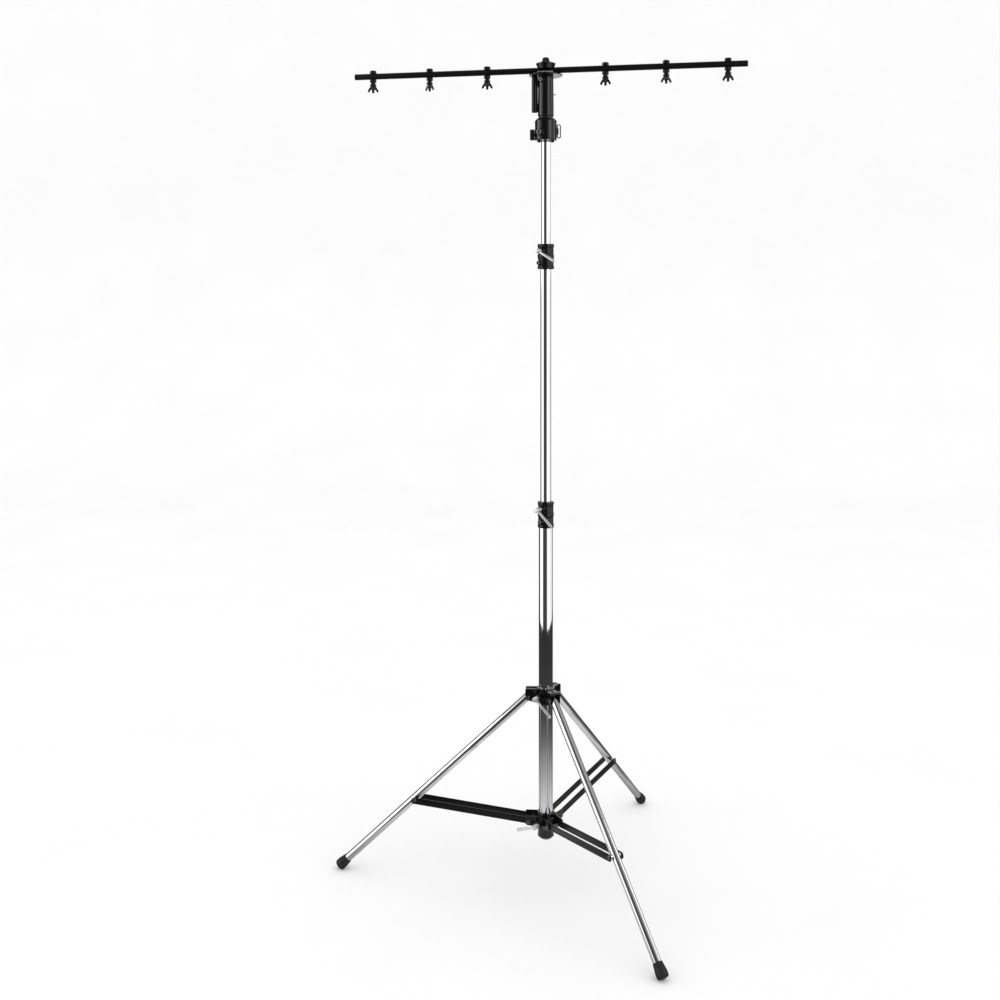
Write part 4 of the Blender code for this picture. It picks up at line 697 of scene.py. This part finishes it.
def add_side_socket():
    """The small tube beside the adaptor, with four weld beads that join them."""
    radius = 0.010
    side = SWIVEL @ Matrix.Translation((-(ADAPTOR_R + GAP + radius), 0, 0))
    low = ADAPTOR_TOP - 0.115
    socket = tube(radius, 0.008, low, ADAPTOR_TOP, 72, 0.0006)
    show("side_socket_tube", socket, ENAMEL, "lamp_head", ["side_socket"], place=side)
    stretches = ((low + 0.004, low + 0.030), (ADAPTOR_TOP - 0.034, ADAPTOR_TOP - 0.006))
    for index, (start, end) in enumerate(stretches, 1):
        for hand, label in ((-1, "front"), (1, "back")):
            place = side @ Matrix.Translation((0.0092, hand * 0.0052, 0))
            bead = lathe(weld_profile(start, end), 20)
            show(f"socket_weld_{index}_{label}", bead, ENAMEL, "lamp_head", place=place)


def weld_profile(start, end):
    """A rippled bead from end down to start, thin at both ends."""
    count = 26
    points = [(0, end)]
    for i in range(count + 1):
        z = end + (start - end) * i / count
        taper = min(1.0, 3 * min(i, count - i) / count + 0.35)
        points.append(((0.0016 + 0.0003 * (i % 2)) * taper, z))
    return points + [(0, start)]


def add_plate():
    thick = PLATE_TOP - PLATE_Z
    half, low, high = 0.0255, thick - 0.001, thick + 0.0105
    flange = lathe([(0, thick), (0.054, thick), (0.054, 0), (0, 0)], 128, 0.0012)
    cradle = plate([[(-half, low), (half, low), (half, high), (-half, high)]], 0.028, 0.0008)
    groove_place = Matrix.Translation((0, 0, BAR_Z - PLATE_Z)) @ TOWARD_X
    groove = moved(disc(BAR_R + GAP, -0.06, 0.06, 64), groove_place)
    stud = disc(0.0053, -0.01, 0.02, 48)
    base = SWIVEL @ Matrix.Translation((0, 0, PLATE_Z))
    casting = cast([flange, cradle], [groove, stud], 0.0008)
    show("adaptor_flange", casting, ENAMEL, "lamp_head", ["adaptor_plate"], place=base)
    lip = block((-0.0248, -0.0150, thick + 0.0052), (0.0248, -0.0141, thick + 0.0104))
    shape = bmesh.new()
    shape.from_mesh(lip)
    bmesh.ops.bevel(shape, geom=shape.edges[:], offset=0.0003, segments=2, affect="EDGES")
    show("cradle_front_strip", as_mesh(shape), STEEL, "lamp_head", place=base)


def threads(radius, low, high, pitch, depth):
    """The outer side of a thread, from high down to low."""
    count = int((high - low) / pitch)
    points = []
    for i in range(count):
        z = high - i * pitch
        points += [(radius, z), (radius - depth, z - pitch * 0.5)]
    return points + [(radius, low + 0.0002)]


def add_bar():
    base = SWIVEL @ Matrix.Translation((0, 0, BAR_Z)) @ TOWARD_X
    bar = tube(BAR_R, BAR_R - 0.0015, -BAR_HALF, BAR_HALF, 80, 0.0005)
    show("t_bar_tube", bar, SATIN, "lamp_head", ["t_bar"], place=base)
    inner = 0.0081
    outline = [(0, BAR_HALF - 0.0012), (0.0052, BAR_HALF - 0.0010), (0.0066, BAR_HALF - 0.0004),
               (inner, BAR_HALF - 0.0004), (inner, BAR_HALF - 0.012), (0, BAR_HALF - 0.012)]
    for index, hand in enumerate((-1, 1), 1):
        turn = base if hand > 0 else base @ Matrix.Rotation(math.pi, 4, "X")
        show(f"t_bar_end_plug_{index}", lathe(outline, 48, 0.0004), PLASTIC, "lamp_head", place=turn)


def add_bar_clamp():
    foot, rim = 0.004, 0.023
    dish = [(0, rim), (0.0292, rim), (0.032, rim - 0.0012), (0.0258, foot + 0.002), (0.025, foot), (0, foot)]
    groove = moved(disc(BAR_R + GAP, -0.06, 0.06, 64), TOWARD_X)
    clamp = cast([lathe(dish, 112, 0.0010)], [groove, disc(0.0053, -0.02, 0.05, 48)], 0.0008)
    top = SWIVEL @ Matrix.Translation((0, 0, BAR_Z))
    show("bar_clamp_casting", clamp, ENAMEL, "lamp_head", ["bar_clamp"], place=top)
    seat, end, height = rim + GAP, rim - 0.075, 0.0178
    outline = rounded([(0, seat + height), (0.0092, seat + height), (0.0120, seat + height * 0.42),
                       (0.0148, seat + 0.0035), (0.0148, seat), (0.005, seat)], 0.0014)
    outline += threads(0.005, end, seat - 0.001, 0.00125, 0.0005) + [(0.0042, end), (0, end)]
    knob = lathe(outline, 144, flutes=(24, 0.0009, seat + 0.0015, seat + height - 0.003, 0.0075))
    show("top_clamp_knob", knob, PLASTIC, "top_knob", ["top_knob"], place=top)


def add_lamp_bolts():
    nut = wing_nut_shape()
    drop = Matrix.Translation((0, 0, -(BAR_R + 2 * GAP + 0.0145)))
    nut_turns = (12, -24, 8, -10, 20, -6)
    for index, (step, degrees) in enumerate(zip((-3, -2, -1, 1, 2, 3), nut_turns), 1):
        bolt_place = SWIVEL @ Matrix.Translation((LAMP_STEP * step, 0, BAR_Z))
        show(f"lamp_bolt_{index}_assembly", lamp_bolt_shape(), SATIN, "lamp_head", [f"lamp_bolt_{index}"],
             place=bolt_place)
        place = bolt_place @ Matrix.Rotation(math.radians(degrees), 4, "Z") @ drop
        show(f"wing_nut_{index}_casting", nut, ENAMEL, f"wing_nut_{index}", [f"wing_nut_{index}"],
             place=place)


def lamp_bolt_shape():
    """A bolt down through the bar, its cap above, and a fluted lock nut below."""
    seat, shank, end = BAR_R + GAP, 0.004, -0.0545
    top, nut_low = seat + 0.009, -seat - 0.010
    collar_low = nut_low - 0.0045
    cap = rounded([(0, top), (0.0085, top), (0.0107, top - 0.0024), (0.0107, seat), (shank, seat)], 0.0008)
    nut = rounded([(shank, -seat), (0.0105, -seat), (0.0105, nut_low), (0.007, nut_low), (0.007, collar_low),
                   (shank, collar_low)], 0.0007)
    thread = threads(shank, end, collar_low - 0.001, 0.00125, 0.0004) + [(0.003, end), (0, end)]
    return lathe(cap + nut + thread, 120, flutes=(30, 0.0005, nut_low + 0.0015, -seat - 0.0015, 0.0100))


def wing_nut_shape():
    flange = lathe([(0, 0), (0.0085, 0), (0.0105, -0.003), (0.0096, -0.007), (0.0068, -0.0085),
                    (0.0058, -0.020), (0, -0.020)], 64, 0.0008)
    outline = [(0.0050, -0.0055), (0.0090, -0.0078), (0.0140, -0.0150), (0.0175, -0.0218),
               (0.0174, -0.0250), (0.0160, -0.0267), (0.0135, -0.0270), (0.0112, -0.0250),
               (0.0082, -0.0190), (0.0050, -0.0175)]
    wings = [plate([[(hand * x, z) for x, z in outline]], 0.0038, 0.0009) for hand in (-1, 1)]
    return cast([flange] + wings, [disc(0.0043, -0.03, 0.01, 40)], 0.00045, 4, 0.25)


# ---------------------------------------------------------------- studio

def stepped(value, stops):
    """Linear between (place, level) stops."""
    for (x0, y0), (x1, y1) in zip(stops, stops[1:]):
        if value <= x1:
            return y0 + (y1 - y0) * max(0.0, (value - x0) / (x1 - x0))
    return stops[-1][1]


def painted_reflection_sheet(name, shape, level):
    """A glowing sheet that only reflections see, a painted reflection that lights nothing and casts no
    shadow; level gives its brightness at a point.
    """
    mesh = as_mesh(shape)
    tones = mesh.color_attributes.new("tone", "FLOAT_COLOR", "POINT")
    for vertex, tone in zip(mesh.vertices, tones.data):
        value = level(vertex.co)
        tone.color = (value, value, value, 1)
    material = bpy.data.materials.new(name + "_glow")
    material.use_nodes = True
    tree = material.node_tree
    tree.nodes.clear()
    tone = tree.nodes.new("ShaderNodeAttribute")
    tone.attribute_name = "tone"
    glow = tree.nodes.new("ShaderNodeEmission")
    output = tree.nodes.new("ShaderNodeOutputMaterial")
    tree.links.new(tone.outputs["Color"], glow.inputs["Color"])
    tree.links.new(glow.outputs["Emission"], output.inputs["Surface"])
    mesh.materials.append(material)
    obj = temporary(name, mesh)
    for ray in ("camera", "diffuse", "transmission", "volume_scatter", "shadow"):
        setattr(obj, "visible_" + ray, False)
    return obj


# Painted reflections of the studio walls: their brightness by bearing, in degrees to the right of the camera
# as the stand sees it
WALL_REFLECTION_TONES = [(-180, 1.1), (-166, 1.1), (-162, 0.06), (-108, 0.06), (-101, 1.5), (-53, 1.5), (-47, 0.08),
              (-20, 0.05), (14, 0.08), (20, 1.06), (33, 1.06), (36, 1.6), (56, 1.6), (60, 0.98), (92, 0.98),
              (95, 1.5), (103, 1.5), (109, 0.30), (158, 0.22), (164, 1.1), (180, 1.1)]
# Painted reflection of the ceiling: its brightness by bearing
CEILING_REFLECTION_TONES = [(-180, 0.5), (-100, 0.5), (-75, 0.9), (-60, 0.12), (12, 0.08), (30, 0.30), (60, 0.42),
                 (110, 0.36), (150, 0.5), (180, 0.5)]
# Painted highlight strips, added to the wall reflections above STRIP_LOW, at the height that the head
# reflects
HIGHLIGHT_STRIP_TONES = [(-180, 0), (-101, 0), (-98, 2.6), (-76, 2.6), (-72, 0), (34, 0), (37, 1.8), (55, 1.8), (58, 0),
               (93, 0), (96, 1.6), (103, 1.6), (108, 0), (180, 0)]
# Painted reflection of the ground, darker away from the column: its brightness by distance from the column
GROUND_REFLECTION_TONES = [(0.0, 0.78), (0.40, 0.66), (0.62, 0.40), (0.85, 0.23), (1.05, 0.12), (1.4, 0.055), (2.3, 0.04),
               (3.7, 0.03)]
# Painted streaks in the ground's reflection
GROUND_REFLECTION_STREAKS = ((9, 0.22, 0.4), (23, 0.20, 1.1), (41, 0.15, 2.0))
WALL_REACH, WALL_TOP, FLOOR_REACH = 5.2, 4.4, 3.7
STRIP_LOW, STRIP_FULL = 2.5, 2.8


def ripple(angle, waves):
    """A fixed mix of waves about 1, each with its count round the turn, size and shift."""
    return 1 + sum(size * math.sin(math.radians(angle) * count + shift) for count, size, shift in waves)


def rings(profile, steps=240):
    """Rings about the column's axis, at (radius, height), joined into a sheet."""
    shape = bmesh.new()
    turns = [math.tau * k / steps for k in range(steps)]
    rows = []
    for radius, height in profile:
        spots = [(AXIS_X + radius * math.cos(a), radius * math.sin(a), height) for a in turns]
        rows.append([shape.verts.new(place) for place in spots])
    for a, b in zip(rows, rows[1:]):
        for k in range(steps):
            j = (k + 1) % steps
            shape.faces.new((a[k], b[k], b[j], a[j]))
    return shape


def add_painted_reflections(right, away):
    """Painted reflections: glowing sheets in place of walls, ceiling and ground around the stand, which only
    its chrome and gloss reflect.
    """
    toward = -away

    def bearing(point):
        flat = Vector((point.x - AXIS_X, point.y, 0))
        return math.degrees(math.atan2(flat.dot(right), flat.dot(toward)))

    def wall_reflection_level(point):
        strip = stepped(bearing(point), HIGHLIGHT_STRIP_TONES) if point.z > STRIP_LOW + 0.1 else 0
        return stepped(bearing(point), WALL_REFLECTION_TONES) + strip

    def ceiling_reflection_level(point):
        return stepped(bearing(point), CEILING_REFLECTION_TONES)

    # Painted reflection of a darker floor, with painted streaks; the visible floor stays pale
    def ground_reflection_level(point):
        reach = math.hypot(point.x - AXIS_X, point.y)
        angle = bearing(point)
        if reach > FLOOR_REACH + 0.01:
            return stepped(angle, WALL_REFLECTION_TONES)
        return stepped(reach, GROUND_REFLECTION_TONES) * ripple(angle, GROUND_REFLECTION_STREAKS)

    middle, height = 0.02, 0.002
    reaches = [middle + (FLOOR_REACH - middle) * i / 30 for i in range(31)] + [FLOOR_REACH + 0.06, WALL_REACH]
    # Painted reflections only: the camera, diffuse light and shadows never see these sheets
    reflection_walls = rings([(WALL_REACH, z) for z in (0.0, STRIP_LOW, STRIP_FULL, WALL_TOP)])
    painted_reflection_sheet("painted_reflection_walls", reflection_walls, wall_reflection_level)
    painted_reflection_sheet("painted_reflection_ceiling", rings([(middle, WALL_TOP), (WALL_REACH, WALL_TOP)]), ceiling_reflection_level)
    painted_reflection_sheet("painted_reflection_ground", rings([(reach, height) for reach in reaches]), ground_reflection_level)


def add_studio():
    """A white world, and a floor that curves up into a backdrop far behind the stand."""
    shape = bmesh.new()
    bend, radius = 7.0, 3
    curve = [(bend + radius * math.sin(a), radius - radius * math.cos(a))
             for a in map(math.radians, range(10, 91, 10))]
    profile = [(-14.0, 0.0), (bend, 0.0)] + curve + [(10.0, 12.0)]
    rows = [[shape.verts.new((x, y, z)) for x in (-16.0, 16.0)] for y, z in profile]
    for a, b in zip(rows, rows[1:]):
        shape.faces.new((a[0], a[1], b[1], b[0]))
    mesh = as_mesh(shape)
    mesh.shade_smooth()
    material, tree, shader = new_material("studio_floor")
    tone = blended(tree, ranged(tree, noise(tree, 1.5), 0, 1), (0.90, 0.90, 0.90), (0.88, 0.88, 0.88))
    tree.links.new(tone, shader.inputs["Base Color"])
    shader.inputs["Roughness"].default_value = 0.85
    shader.inputs["Specular IOR Level"].default_value = 0.0
    mesh.materials.append(material)
    floor = temporary("studio_floor", mesh)

    world = bpy.data.worlds.new("studio")
    bpy.context.scene.world = world
    world.use_nodes = True
    background = world.node_tree.nodes["Background"]
    background.inputs["Color"].default_value = (1.0, 1.0, 1.0, 1)
    background.inputs["Strength"].default_value = 1.16


def add_camera():
    """The photograph's view; gives the directions to its right and away from it."""
    view_turn = math.radians(3.86)
    right = Vector((math.cos(view_turn), math.sin(view_turn), 0))
    away = Vector((-math.sin(view_turn), math.cos(view_turn), 0))
    camera = bpy.data.cameras.new("camera")
    camera.sensor_width = 36
    camera.lens = 42.98
    camera.shift_y = -0.1975
    obj = bpy.data.objects.new("camera", camera)
    bpy.context.scene.collection.objects.link(obj)
    obj.location = Vector((AXIS_X, 0, 1.832)) - away * 3.821 - right * 0.1466
    obj.rotation_euler = (math.pi / 2, 0, view_turn)
    bpy.context.scene.camera = obj
    return right, away


bpy.context.scene.view_settings.view_transform = "Standard"
add_tubes()
add_plug()
add_collars()
add_upper_spider()
add_lower_spider()
add_legs()
add_braces()
add_top_socket()
add_adaptor()
add_side_socket()
add_plate()
add_bar()
add_bar_clamp()
add_lamp_bolts()
add_studio()
add_painted_reflections(*add_camera())
